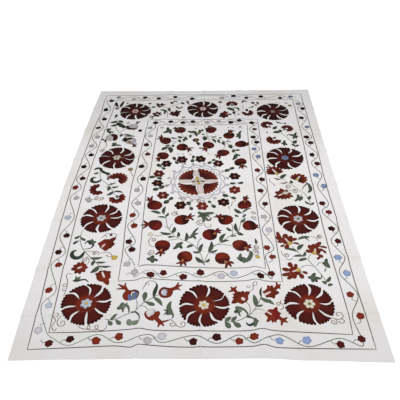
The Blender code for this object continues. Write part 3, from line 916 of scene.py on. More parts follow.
borderLeaves = (
    (-70.3, -45.3, -73.3, -48, -1.7), (-70, -46.5, -66.3, -49.5, -1.5), (-70, -49.5, -73, -52.5, -1.7),
    (-61.5, -62.8, -54.2, -62.2, 1.6), (-57.6, -65.8, -51.7, -65.7, 1.4), (-58.4, -64.4, -59, -68.9, 1.8),
    (-55, -69, -48.5, -69.2, 1.2), (-55, -69, -59.5, -73.5, 2.2), (-70, 13.5, -73.3, 12.5, 1.5),
    (-61.5, 0.5, -56.5, 1.5, 1.3), (-59, -2.3, -54, -1.5, 1.3), (-60.5, -1.5, -61, -5.5, 2),
    (-57, -6, -50.5, -7.5, 1.5), (-57, -6, -61, -10, 2), (-57.6, 56.7, -50.3, 56.5, 1.2, "moss"),
    (-57.4, 56, -59.6, 50.3, 1.6, "moss"), (-60, 59.5, -61.5, 56, 1.5), (-59, 59.5, -54, 59, 1.5, "ash"),
    (-66.6, 78, -72.2, 75.6, 1.8), (-66.2, 78.2, -61.8, 75.2, 1.8), (-66.2, 73.2, -71.2, 70.8, 1.8),
    (-70, 67, -72.3, 63, 2), (-27.5, 96, -27, 91.5, 1.5), (-27.5, 106, -25.5, 102.5, 1.5),
    (-18.5, 106, -15.5, 102.5, 1.5), (-14.3, 107.5, -13, 104, 1.6), (18, 95.5, 24, 91.5, 2),
    (24, 91.5, 24, 86.5, 1.6), (38.8, 105.5, 40.5, 102.5, 2), (43, 105.5, 44, 101.5, 1.3),
    (40.5, 99.5, 43, 101, 1.6, "khaki"), (52.2, 64, 55.3, 69.3, 1.8), (56.5, 60.5, 51, 60.3, 1.7),
    (56, 60.5, 57, 64, 1.5), (64.8, 45.8, 67.5, 50.3, 2), (65, 42.8, 62.7, 46, 1.3),
    (65.3, 42.3, 68.7, 44.5, 1.3), (51, 6, 55.5, 11, 2.2), (51, 5.5, 46.5, 7, 1.2),
    (57, 0.5, 57.3, 4.8, 1.8), (55, 2, 49.6, 1.2, 1.4, "ash"), (66, -15, 68, -11, 1.8),
    (66.3, -19.3, 63.3, -15.5, 1.3), (66.5, -19.5, 68.8, -17, 1.3), (53.5, -57, 57.5, -52.5, 2),
    (53.5, -58, 46, -56, 1.5), (55.5, -62, 57.5, -58, 1.5), (56, -61.5, 50, -62, 1.6),
    (57.5, -64, 52.5, -65.5, 1.5), (65, -79.5, 68, -75.5, 1.6), (65, -81, 62.8, -78.8, 1.5),
    (65.5, -82, 68.5, -80.8, 1.5), (46.6, 59.8, 47.6, 60.6, 1.3, "pine"),
    (-45.3, 86.2, -44.4, 88.2, 1.2, "moss"),
)

# Leaves with several tips: base x, y, width, then the tips
forkedLeaves = (
    (-5.4, -45.8, 1.4, (-2, -39.4), (-7.4, -47.8), (-1.9, -44), (-3.2, -48.8)),
    (-13, -53, 1.9, (-10.5, -51), (-16, -56.2), (-11, -56)),
    (-27.4, -63.8, 2.0, (-26.2, -60.8), (-30, -63.4), (-26.4, -66.8), (-23.6, -65)),
    (-26, 63.4, 2.1, (-27, 68.8), (-30.4, 60.8), (-24.2, 59.6), (-23.6, 63.6)),
    (26, 57, 1.8, (27.9, 62.4), (24.4, 59.2), (23.6, 54.8), (26, 51.8)),
    (-64.4, 45.4, 1.7, (-65.5, 48.7), (-63.2, 49), (-66.4, 44.6), (-59, 44.8)),
    (-70.2, 62.2, 1.5, (-72.5, 64.2), (-70, 60), (-67, 62)),
    (-68.6, 85.4, 1.4, (-69.8, 82.3), (-67.2, 86.2), (-69, 88.2)),
    (58, 46.8, 1.6, (59, 50.5), (55.6, 46.3), (57.3, 43.4), (59.8, 44.2)),
    (60.2, -12.8, 1.6, (60.2, -9.4), (57, -16), (60.5, -16), (62.4, -14.7), (63.2, -12.3)),
    (66.6, 56.2, 1.6, (68.8, 60.5), (69.4, 54.8), (67.6, 52.2), (64.8, 52), (62.6, 58)),
    (67.4, -67.6, 1.8, (68.2, -63.6), (69, -67), (68.6, -70), (65.4, -66)),
    (58.4, -76.6, 1.8, (60.6, -73.3), (56, -76), (58, -79.6), (60.6, -79.6), (62.8, -77.4)),
)

# Bent leaves and hooks, as bands along a route: width, profile, dye, points
hookLeaves = (
    (1.9, "lens", "leaf", (-12, 62.8), (-9, 61.5), (-7, 61.8), (-5.8, 60), (-4.8, 56)),
    (1.0, "leaf", "ash", (16.5, 49), (18.4, 49.6), (20, 48.5)),
    (0.9, "horn", "moss", (-61.4, -54), (-62.6, -55.4), (-64.5, -56), (-66.5, -56)),
    (2.5, "lens", "moss", (-69.8, -56.8), (-71.9, -58.2), (-71.8, -61), (-69.4, -62.8), (-66.8, -61.8),
     (-65.3, -57.8)),
    (1.9, "lens", "moss", (-70.2, 17.8), (-68, 15.2), (-65.6, 13.2), (-63, 12.4), (-62.4, 10.4)),
    (2.2, "lens", "moss", (-70.4, 8.4), (-73, 7.6), (-73, 4.6), (-70.5, 3.2), (-68, 4.4), (-67, 6.8)),
    (1.8, "lens", "moss", (-73.4, 16.2), (-72, 18.2), (-69.4, 17.8), (-68, 15.5)),
    (2.9, "lens", "moss", (-66.8, 76), (-63.4, 72), (-60.8, 69.6), (-60.8, 67)),
    (1.6, "lens", "leaf", (-35, 93.5), (-32.4, 93.2), (-30.5, 91.5), (-31.3, 87)),
    (1.3, "horn", "leaf", (-25.5, 105.6), (-23.5, 107.5), (-21.5, 105.3)),
    (1.1, "horn", "leaf", (-13.4, 104), (-12, 102.4), (-10.5, 102)),
    (1.3, "lens", "leaf", (-22.5, 100), (-21.6, 97), (-20, 95.5), (-18, 96.5), (-17.5, 99)),
    (1.2, "leaf", "moss", (-17.5, 83), (-15.6, 82.6), (-14, 83.5)),
    (1.4, "leaf", "leaf", (23.5, 96), (27, 94.5), (27.5, 91)),
    (1.3, "leaf", "leaf", (30.5, 103), (31.5, 106), (33, 107), (35, 104.8)),
    (1.4, "horn", "leaf", (38.8, 99), (38.5, 97), (36.5, 95.5), (34.8, 96)),
    (1.2, "leaf", "leaf", (55, 76), (57, 73.9), (60.5, 73)),
    (0.6, "stem", "leaf", (66.5, 57.5), (63, 58), (61, 56.5)),
    (1.0, "horn", "leaf", (67.5, 1.8), (66.8, 0), (64.4, -2.8), (63.5, -5.5)),
    (2.2, "lens", "leaf", (67.4, 1.2), (68.3, -1.4), (68.8, -4), (68, -6.4), (66.4, -8)),
    (2.0, "lens", "leaf", (54.6, -48.8), (57.6, -47.2), (61.8, -46.8)),
    (0.9, "horn", "moss", (58.5, -47.6), (60.2, -48.8), (61, -50.4)),
    (0.7, "horn", "leaf", (65.5, -72.4), (66.6, -70.4), (67, -68)),
    (0.8, "horn", "leaf", (62.6, -77.3), (63.4, -75.8), (63.2, -73.8)),
    (1.2, "leaf", "leaf", (-62.9, 103.8), (-62.2, 105), (-62.6, 106.4)),
)


# How wide leaves are sewn: a share of the drawn width, and how much more at the head
leafLook = {"bend": 0.09, "plain": (1.3, 0.5), "hooked": (1.1, 0.4), "forked": 1.5, "growth": (-10, 60)}


# Plain leaves bend to either side by chance, forked ones have a finger for each tip
def layLeaves():
    for x, y, tipX, tipY, width, *dye in fieldLeaves + borderLeaves:
        bend = leafLook["bend"] * (1 if dice.random() > 0.5 else -1)
        least, more = leafLook["plain"]
        width *= least + more * smooth(*leafLook["growth"], y)
        layBand("leaves", dye[0] if dye else "leaf", bent((x, y), (tipX, tipY), bend), abs(width),
                "paddle" if width < 0 else "leaf", 0.5, second=None if dye else "moss")
    for x, y, width, *tips in forkedLeaves:
        for tip in tips:
            layBand("leaves", "leaf", bent((x, y), tip, 0.07), width * leafLook["forked"], "finger", 0.5,
                    second="moss")
        layBlob("leaves", "leaf", x, y, even(width * 0.9), cells=7)
    for width, profile, dye, *points in hookLeaves:
        least, more = leafLook["hooked"]
        width *= least + more * smooth(*leafLook["growth"], points[0][1])
        layBand("leaves", dye, points, width, profile, 0.5)


# Flowers of the border in toothed crescents and fans: x, y, outer and inner radius, from and to in
# degrees, teeth, dye, heart dye if it has a heart, stretch of the middle, and the heart's place
crescents = (
    (-56.8, 5.8, 7.9, 1.3, -55, 165, 11, "rust", None, 0.0, None),
    (-67, -4, 6.2, 1.5, 85, 320, 8, "brick", None, 0.0, None),
    (-54, -12, 6.0, 1.5, 175, 415, 8, "rust", "sage", 0.0, (-53.8, -11.2)),
    (22.3, 101.6, 5.4, 1.2, -40, 225, 8, "rust", "sage", 0.0, (22.4, 100.6)),
    (34, 89.2, 5.3, 1.0, 165, 420, 8, "rust", "dark", 0.0, (33.8, 92.4)),
    (48.2, 70.8, 5.6, 0.9, 0, 272, 8, "rust", "rosewood", 0.0, (49.4, 68.4)),
    (62, 65.6, 5.3, 0.9, -100, 180, 9, "rust", "rosewood", 0.0, (60.4, 64.4)),
    (51.4, 51.8, 6.6, 1.1, 125, 350, 9, "rust", "rosewood", 0.0, (51.8, 53.6)),
    (48.6, 10.3, 7.6, 1.0, 30, 178, 8, "rust", "gold", 0.32, (48.9, 11.6)),
    (60.8, 3.8, 6.6, 0.9, -45, 140, 9, "rust", "gold", 0.42, (61.8, 5.6)),
)
# Lilies: heart x, y, pale streak x, y, then petals as root x, y, tip x, y, width
lilies = (
    (49.6, -51.8, 47.2, -47.4, (47, -50, 43.6, -42.4, 2.6), (46.6, -50, 42.4, -46.2, 2.3),
     (46.6, -50.6, 42.8, -50, 2.1), (48, -50, 48.6, -44.2, 3.6), (49.4, -50, 51.8, -46, 2.8),
     (50.2, -50.6, 54.4, -48.2, 2.6), (50.6, -51.8, 55.2, -52.6, 1.8), (48.4, -52, 46.6, -55.8, 3.0),
     (46.8, -52.4, 44, -54.2, 1.9)),
    (62.4, -59.2, 63.4, -55.6, (63.6, -57, 67.4, -50.8, 3.0), (65, -54.6, 70, -55.4, 1.9),
     (62.6, -57, 63.4, -52.2, 3.0), (62, -57.4, 60.4, -52.8, 2.8), (61.6, -58, 57.8, -57, 2.8),
     (63.6, -57.6, 67.8, -57, 2.6), (66.4, -56.6, 68.6, -59.6, 1.9), (63.4, -60, 66, -63.2, 3.0),
     (64.4, -61.8, 62.8, -64.3, 1.9)),
    (51.7, -71.3, 48.2, -72.6, (49.6, -70, 47.6, -66, 3.2), (50.6, -70, 51.6, -67.2, 2.4),
     (48.6, -70.8, 43.2, -70.2, 3.0), (48.2, -72.2, 42.6, -74.8, 2.8), (48.6, -72.8, 45.2, -77.6, 2.6),
     (49.4, -73, 48.6, -77.4, 2.4), (51.4, -73, 53.2, -77.4, 3.0), (53.2, -72.6, 56.4, -74, 2.2)),
)
# Prongs that crown a flower: dye, root x, y, width, then the tips
flowerCrowns = (
    ("black", -72, 51.4, 2.1, (-74.6, 53.6), (-71, 52.4), (-71, 48.8)),
    ("maroon", -50, 45.6, 2.2, (-48, 47.2), (-48.4, 43.1), (-50.7, 42.8), (-51.6, 47.4)),
    ("maroon", -50.6, 75.2, 2.1, (-52.2, 77), (-49.1, 77.2), (-51.6, 73.2)),
    ("dark", -39.4, 84.6, 1.6, (-42.4, 85.2), (-40.6, 80.2), (-42.4, 82.6)),
    ("rust", 46, 18, 1.6, (43.8, 21.6), (42.3, 18.8), (46, 18.9), (48.6, 18.8)),
)


# Crescents and fans, lilies of paddle petals round a small disc, and crowns of prongs
def layFlowers():
    for x, y, outer, inner, start, end, teeth, dye, heart, stretch, place in crescents:
        laySector("flowers", dye, (x, y), inner, outer, start, end, teeth, 0.15, 0.16, "maroon", stretch)
        if heart:
            outline = even(1.2, 1.3, math.radians((start + end) / 2 + 90))
            layBlob("hearts", heart, *place, outline, cells=7, layer=1.0)
    for hx, hy, sx, sy, *petals in lilies:
        for x, y, tipX, tipY, width in petals:
            petal = bent((x, y), (tipX, tipY), 0.12)
            layBand("flowers", "rust", petal, width, "paddle", 0.5, second="brick")
        layBlob("flowers", "rust", (hx + sx) / 2, (hy + sy) / 2, even(3.2), "brick", cells=9)
        layBlob("hearts", "gold", hx, hy, lobed(1.5, 4, 0.15), cells=7, layer=0.9)
        layBand("hearts", "shell", [(hx, hy), (sx, sy)], 1.4, "lens", 0.5, layer=0.8)
    for dye, x, y, width, *tips in flowerCrowns:
        for tip in tips:
            layBand("crowns", dye, bent((x, y), tip, 0.06), width, "prong", 0.5)


# Flower bodies and leaf middles: x, y, radius, teeth, dye, second dye, lean of the second in degrees,
# then the arms' tips x, y and half width in degrees
bodies = (
    (20.5, -89.3, 3.9, 12, "rust", "brick", 140, ((25.2, -85.5, 24), (21.8, -84.9, 13), (15.4, -93.1, 24),
     (15.6, -89.6, 12), (16, -86.9, 12), (20.8, -93.6, 20))),
    (35.6, -86.3, 3.2, 10, "rust", "brick", -20, ((31.4, -86.3, 30), (34.7, -81.1, 20), (37, -81.1, 18),
     (40.3, -86.2, 30), (37.3, -90.2, 22), (33, -89.5, 24))),
    (35.6, -99.8, 3.6, 12, "rust", "crimson", 10, ((31.2, -99.7, 22), (38.1, -94.8, 18), (33.6, -96.5, 16),
     (39.6, -98.7, 22), (31.9, -104.4, 16), (34.9, -104.7, 12), (36.7, -104.5, 12))),
    (-51.8, -75.6, 4.0, 14, "rust", "brick", 120, ((-48.2, -81.8, 24), (-56.7, -73.8, 22),
     (-48.2, -72.2, 18), (-54.6, -71.9, 16), (-47.6, -76.6, 16), (-55, -78, 14))),
    (-18.8, -86.2, 2.5, 9, "lilac", "sky", 0, ()), (-24.1, -98.4, 2.4, 7, "white", "lilac", 0, ()),
    (-39, -95, 1.9, 5, "sage", "leaf", 200, ()), (19, -96.9, 1.8, 5, "sage", "leaf", 200, ()),
    (-12.7, -83.1, 1.3, 3, "rust", "brick", 0, ()), (-19.3, -104.4, 1.2, 3, "rust", "brick", 0, ()),
    (-40, -83.2, 1.2, 3, "rust", "brick", 0, ()), (16.8, -84.4, 1.3, 3, "rust", "brick", 0, ()),
    (40, -82, 1.2, 3, "rust", "brick", 0, ()), (40.2, -102.8, 1.2, 3, "rust", "brick", 0, ()),
    (-54, -52.4, 4.3, 12, "rust", "brick", 20, ((-49.2, -46.6, 22), (-59.2, -51.6, 26), (-53.8, -57.8, 28),
     (-49, -52.2, 24), (-55.8, -48.3, 20), (-51.8, -48.4, 16))),
    (-65.5, -69.8, 3.6, 8, "rust", "brick", 200, ((-67.4, -65.6, 20), (-64.6, -64.9, 18),
     (-62.4, -67.4, 20), (-60.8, -70.2, 22), (-62, -72.9, 20), (-64.8, -74.6, 20), (-67.6, -74.2, 20),
     (-70.2, -71.6, 22), (-69.6, -68.2, 20))),
    (-68.2, 55.2, 4.3, 10, "ecru", "lilac", 12, ()), (-53, 50.7, 4.4, 11, "ecru", "lilac", -15, ()),
    (-53.7, 69.4, 4.4, 11, "ecru", "lilac", 60, ()),
    (-35.3, 100.5, 2.7, 7, "wine", "maroon", 140, ((-39, 104.6, 28), (-33.6, 105, 24), (-30.8, 102.4, 26),
     (-38.6, 99.8, 26), (-36, 96.4, 28))),
    (-37, 87.3, 2.9, 7, "maroon", "wine", -40, ((-41, 89.2, 28), (-37, 91.8, 26), (-33.6, 90.4, 26),
     (-32.8, 86.4, 26), (-35.4, 83.4, 26), (-38.6, 83.8, 22))),
    (-22.8, 88.3, 3.5, 9, "maroon", "brick", 180, ((-27.8, 87.4, 26), (-27, 91.2, 22), (-18, 92.2, 28),
     (-21.2, 93.8, 20), (-18.6, 87, 22), (-20.2, 83.4, 26), (-24.6, 84.6, 22))),
    (16, 86.4, 3.7, 10, "rust", "maroon", 220, ((11.5, 83, 28), (12.5, 88.2, 22), (16.6, 92.2, 24),
     (19, 91, 16), (22.7, 86.7, 20), (15.2, 80.6, 26), (18.7, 82.2, 20))),
    (50.8, -9.6, 4.4, 12, "rust", "brick", 220, ((44.3, -12.3, 18), (46.6, -14.2, 14), (49.4, -14.8, 12),
     (52, -14.6, 12), (54.8, -13.8, 14), (57.4, -11.8, 20), (56.6, -8.4, 16), (54, -4.8, 18),
     (50, -3.4, 24), (45.6, -7, 22))),
    (-62.8, -51, 1.9, 5, "leaf", "moss", 200, ((-62.9, -48.2, 34), (-59.9, -50.6, 34), (-65.8, -49.6, 34))),
    (22.4, -64, 2.2, 5, "leaf", "moss", 200, ()), (0.6, -28.6, 2.5, 5, "leaf", "moss", 90, ()),
    (-63.4, 11.8, 1.5, 5, "moss", "leaf", 0, ()), (-26.2, 64, 1.8, 5, "moss", "leaf", 90, ()),
    (-65.4, -78.2, 1.5, 5, "moss", "leaf", 90, ((-66.6, -75.6, 26), (-63.9, -75.7, 26), (-67.7, -79, 30))),
)
# Sprays as bands: dye, profile, width, points
sprays = (
    # foot border: jug on the left
    ("rust", "lens", 3.0, (-37.2, -84.9), (-38.2, -87), (-38.3, -89), (-36.8, -91.4)),
    ("brick", "stem", 1.3, (-38.2, -84.9), (-36, -85.6), (-34.2, -85), (-32.8, -85.8)),
    ("maroon", "horn", 1.2, (-33, -85.4), (-32, -86.6), (-31.9, -88.4), (-32.6, -90.8)),
    ("rust", "leaf", 1.8, (-37, -85.8), (-35.8, -87.8)),
    ("indigo", "lens", 2.5, (-36.6, -87.5), (-36.1, -89.3), (-35.4, -91.5)),
    ("sage", "stem", 1.0, (-34.9, -86.4), (-34.6, -88.5), (-34.3, -91.1)),
    ("indigo", "lens", 2.0, (-33.6, -85.4), (-33.4, -88), (-33.5, -91)),
    ("rust", "stem", 1.7, (-37.4, -85.8), (-38.6, -84.2), (-39.7, -82.9)),
    ("rust", "horn", 1.9, (-39.6, -83.3), (-41.2, -82.2), (-43.4, -80.9)),
    ("rust", "horn", 1.6, (-39.4, -83.7), (-41.5, -83.9), (-43.8, -84.2)),
    ("rust", "horn", 1.6, (-38.8, -83.7), (-39.4, -82), (-39.4, -79.8)),
    # jug in the middle
    ("brick", "stem", 1.5, (-14.2, -84.1), (-17.2, -84), (-19.2, -83.5), (-20.5, -84.7), (-20.9, -86.6),
     (-19.7, -88.6), (-17.4, -89), (-15.6, -88.2)),
    ("rust", "lens", 3.0, (-15.6, -83.3), (-15.7, -86), (-16.4, -89.4)),
    ("rust", "leaf", 1.3, (-16, -85.6), (-18, -85.4)), ("rust", "leaf", 1.3, (-16, -87), (-18, -87)),
    ("rust", "stem", 2.3, (-15.4, -84.6), (-13, -83.4)),
    ("rust", "horn", 1.9, (-13, -83.4), (-12.2, -81.6), (-11.6, -79.5)),
    ("rust", "horn", 1.6, (-12.6, -83), (-11, -82), (-9.5, -81.1)),
    ("rust", "horn", 1.6, (-13, -83.8), (-11.6, -84), (-10.2, -84.9)),
    # jug below
    ("rust", "horn", 1.9, (-22.6, -102.6), (-25, -102.2), (-26.6, -100.8), (-27.1, -99.4), (-26.7, -97.6)),
    ("rust", "lens", 3.0, (-25.2, -101.8), (-22.8, -101.4), (-21.2, -99.8), (-20.8, -97.6)),
    ("rust", "leaf", 1.6, (-21.8, -100.6), (-22.4, -97.9)),
    ("rust", "stem", 2.2, (-22, -101.6), (-19.4, -104.2)),
    ("rust", "horn", 1.7, (-19.6, -104.2), (-20.3, -107.2)),
    ("rust", "horn", 1.7, (-19, -104.2), (-18, -105.6), (-17.2, -106.4)),
    ("rust", "horn", 1.3, (-19, -104), (-17, -103.6), (-14.3, -102.6)),
    # leaves on the left
    ("leaf", "paddle", 2.9, (-28.5, -92.4), (-28.4, -89), (-28.1, -86.2)),
    ("leaf", "paddle", 2.6, (-28.3, -92.2), (-26, -93), (-22.8, -94.2)),
    ("moss", "leaf", 2.2, (-23.9, -89.6), (-23.6, -86), (-22.8, -82), (-23.4, -80)),
    ("leaf", "leaf", 2.3, (-24, -89.4), (-22, -90.7), (-20.4, -92.4), (-19, -94.9)),
    ("leaf", "horn", 4.0, (-14.9, -100.2), (-15.3, -97.8), (-15.8, -95), (-14.8, -91.6)),
    ("moss", "horn", 1.5, (-15.2, -98), (-17, -97.4), (-18.4, -96.8)),
    ("moss", "horn", 1.4, (-15.4, -98.2), (-17, -99), (-17.8, -100.2)),
    ("leaf", "horn", 1.5, (-15, -98), (-13.9, -99), (-13.3, -101), (-14.2, -102.6)),
    ("leaf", "paddle", 2.6, (-38.4, -95.2), (-39.7, -92.6)),
    ("leaf", "paddle", 2.4, (-38.8, -95), (-41.7, -96.6)),
    ("leaf", "horn", 2.0, (-39, -95.2), (-38.2, -98.7)),
    ("leaf", "horn", 1.7, (-38, -93.8), (-36.4, -94.8), (-35.5, -97), (-35.4, -99.4)),
    ("leaf", "horn", 1.3, (-37.4, -94.6), (-36.9, -92.3)),
    ("moss", "horn", 1.3, (-34.4, -98.6), (-32, -98.6), (-30.4, -100.2), (-29.7, -102), (-29.9, -103.9)),
    ("sage", "lens", 3.1, (-34.8, -102.4), (-34.4, -104.4), (-33, -105.9)),
    ("sage", "lens", 2.8, (-33.8, -104), (-31.6, -104.8), (-30, -103.4)),
    ("leaf", "paddle", 2.0, (-31.4, -104), (-30.9, -105.9)),
    ("leaf", "leaf", 1.8, (-44, -103.2), (-42.4, -101.4), (-40.8, -99.2)),
    ("leaf", "paddle", 2.5, (-45, -103.3), (-42.6, -106)),
    ("leaf", "paddle", 2.5, (-41.4, -102.8), (-38.4, -105.6)),
    # leaves on the right
    ("leaf", "leaf", 2.6, (27.9, -95.6), (27.5, -92), (26.8, -87.8)),
    ("leaf", "leaf", 1.5, (27.8, -95.1), (29.4, -95.2), (31.2, -94.3)),
    ("moss", "leaf", 1.3, (30.6, -90), (30.4, -86.5), (31.4, -83)),
    ("leaf", "leaf", 2.7, (30, -90), (32.4, -91.3), (34.6, -91.8), (37, -93.9)),
    ("leaf", "leaf", 2.2, (12, -103.4), (15.2, -101)), ("leaf", "leaf", 2.2, (15, -103.5), (18, -100.7)),
    ("leaf", "paddle", 3.1, (12, -103.3), (14.4, -107.5)),
    ("leaf", "paddle", 3.1, (15.8, -103.9), (19.5, -106.8)),
    ("leaf", "paddle", 2.3, (19.2, -97), (17.5, -94.8)),
    ("moss", "paddle", 2.2, (19.2, -96.9), (16.6, -98.7)),
    ("leaf", "horn", 1.7, (19.2, -97), (19, -99.4), (19.8, -101)),
    ("leaf", "horn", 1.9, (18.4, -95.4), (21, -96.3), (22.8, -98.3), (23.2, -99.8), (22.4, -101)),
    ("moss", "horn", 1.4, (22.6, -100.8), (25, -101.4), (27, -103)),
    ("leaf", "lens", 2.3, (26.2, -101.6), (26.8, -103.8), (26.1, -107)),
    ("leaf", "leaf", 2.0, (26, -103.6), (28.5, -104)),
    ("moss", "horn", 2.0, (26, -104.6), (24, -105.7), (22.6, -104.9), (22.4, -103.9)),
    # crowns of the flowers on the right
    ("rust", "stem", 1.9, (18.6, -86.8), (17, -84.2)), ("rust", "horn", 1.8, (16.8, -84.4), (15.3, -82.4)),
    ("rust", "horn", 1.7, (17, -84.2), (18.7, -82.2)), ("brick", "horn", 1.7, (17, -84.6), (14, -86)),
    ("rust", "stem", 2.0, (37.6, -84.4), (40, -82)), ("rust", "horn", 1.8, (39.8, -82.4), (39.1, -79.3)),
    ("rust", "horn", 1.7, (40, -82), (41.5, -80.9)), ("rust", "horn", 1.8, (39.6, -82), (41, -84)),
    ("rust", "stem", 1.9, (38, -101.2), (40.2, -102.8)),
    ("brick", "horn", 1.8, (40, -102.8), (42.5, -101.2)),
    ("rust", "horn", 1.9, (40, -102.8), (42.4, -104.1)), ("rust", "horn", 1.8, (39.8, -102.8), (39, -106)),
    # flowers of the border's two sides
    ("maroon", "lens", 4.2, (-69.2, 59.6), (-66, 57.6), (-65, 54.2), (-65.4, 50.8)),
    ("dark", "lens", 3.4, (-57.6, 49.4), (-55.6, 52.8), (-51.6, 54.6)),
    ("tan", "lens", 2.6, (-55.4, 50.4), (-53.6, 49.2), (-52.4, 47.6)),
    ("maroon", "lens", 3.8, (-58.2, 71.4), (-57, 67.8), (-53.6, 66.2), (-50, 66.6)),
    ("dark", "lens", 2.4, (-71.4, 106.4), (-71, 102.4), (-69, 98.8)),
    ("dark", "lens", 2.3, (-65.6, 108.2), (-66.8, 103), (-67.4, 97.6)),
    # lobed leaves and hooks
    ("moss", "horn", 1.7, (-61.8, -51.8), (-61.4, -53.6), (-62.6, -55.4)),
    ("moss", "horn", 1.2, (-64.6, -50), (-66, -51), (-66.3, -52.6)),
    ("leaf", "lens", 3.2, (19.4, -62.2), (21.4, -64.2), (24.2, -65), (26.4, -63.2), (27.4, -60),
     (26.6, -58)),
    ("leaf", "finger", 2.2, (22.6, -64.6), (23.4, -67)), ("leaf", "finger", 2.4, (21, -63), (21.8, -59.4)),
    ("leaf", "lens", 3.0, (-3, -26), (0, -27.4), (3.4, -27), (7.6, -26.4)),
    ("leaf", "finger", 2.4, (0.2, -28.4), (-2.8, -31)), ("leaf", "finger", 3.0, (0.8, -29), (1.2, -34.6)),
    ("leaf", "finger", 1.8, (1.2, -29.6), (3, -32.8), (4.6, -33), (5.8, -31)),
    ("leaf", "finger", 1.8, (2, -28), (4.6, -29.6)),
    # star leaf's tail
    ("moss", "horn", 1.5, (-65, -78.8), (-62.4, -78), (-60.6, -78.2), (-58.8, -79.9)),
)
# Pale slits of those flowers: from x, y to x, y, width
slits = (
    (-56.5, -55, -54.6, -52, 1.4), (-66.8, -71, -64.2, -69.4, 1.6), (-52.8, 70.4, -50.8, 72.4, 1.2),
    (-36.4, 100.6, -33.8, 100.2, 1.4), (-38, 88.2, -34.8, 86.2, 1.6), (-24, 90.2, -22.6, 93, 1.5),
    (19.6, 89.4, 17.8, 86, 1.4), (46.3, 16.8, 49.6, 10.6, 2.0), (61.2, 4.8, 64, 9, 1.8),
    (47.4, -10.9, 51, -8.8, 1.5), (20.6, -89.3, 22.4, -91.2, 2.2), (31.9, -88.1, 36, -85.6, 1.5),
    (32.7, -98, 35, -100, 1.2), (-53.1, -72.6, -51, -76.9, 1.5),
)
paleHeart = {"place": (52.4, -8.2), "radius": 1.9}     # of the large flower on the right
# Round spots and pale buds: x, y, radius, dye
spots = (
    (-48, -62.5, 1.9, "gold"), (-52.5, -45, 1.0, "maroon"), (-29.5, -45, 1.8, "cream"),
    (30.8, -62.5, 1.5, "gold"), (-17.5, 34, 0.9, "lilac"), (-14, 34, 0.9, "lilac"), (-9, 33.5, 0.8, "tan"),
    (18.5, 67.5, 0.9, "lilac"), (21.5, 67.5, 0.9, "lilac"), (27.5, 68, 1.5, "lilac"),
    (-72.2, -13.6, 1.9, "grey"), (-71, -15.2, 1.8, "grey"), (-49, 17, 2.0, "khaki"),
    (-47.5, 63.7, 1.6, "maroon"), (-58, 75, 1.6, "lilac"), (-69.5, 96, 1.7, "sage"),
    (-40.5, 98, 1.9, "sage"), (-44, 104, 1.5, "sage"), (27, 86, 1.4, "lilac"), (13, 105.5, 1.9, "ash"),
    (61.5, 73, 1.1, "dark"), (68.5, 99, 1.9, "khaki"), (66, 103, 1.4, "lilac"), (-62.5, 6.5, 1.0, "wine"),
)
# Spirals: x, y, radius and, where it isn't the plain one, a dye
spirals = (
    (-17, -27, 1.7), (-12, -13.5, 1.3), (-2, -15.5, 1.2), (-24, -1, 1.2), (-13, 22.5, 1.2),
    (-28, -58.5, 1.5), (-27.5, -48.7, 1.2), (-1, -35, 2.0), (4, -31.5, 1.5), (31, -31, 1.5),
    (30.8, -27, 1.2), (31, -54.8, 1.3), (29.7, -58.2, 1.2), (-59.5, -59.5, 1.0), (-64, -64, 1.4),
    (-67, -12.5, 1.2), (-63.5, -13, 1.2), (-72, 39.5, 1.5), (55, -2.5, 1.5), (58.5, -6.5, 1.5),
    (47, -61, 1.2), (-31.5, 68, 1.2), (-62.5, 8.4, 0.9, "wine"), (67.5, -46.8, 1.0),
)
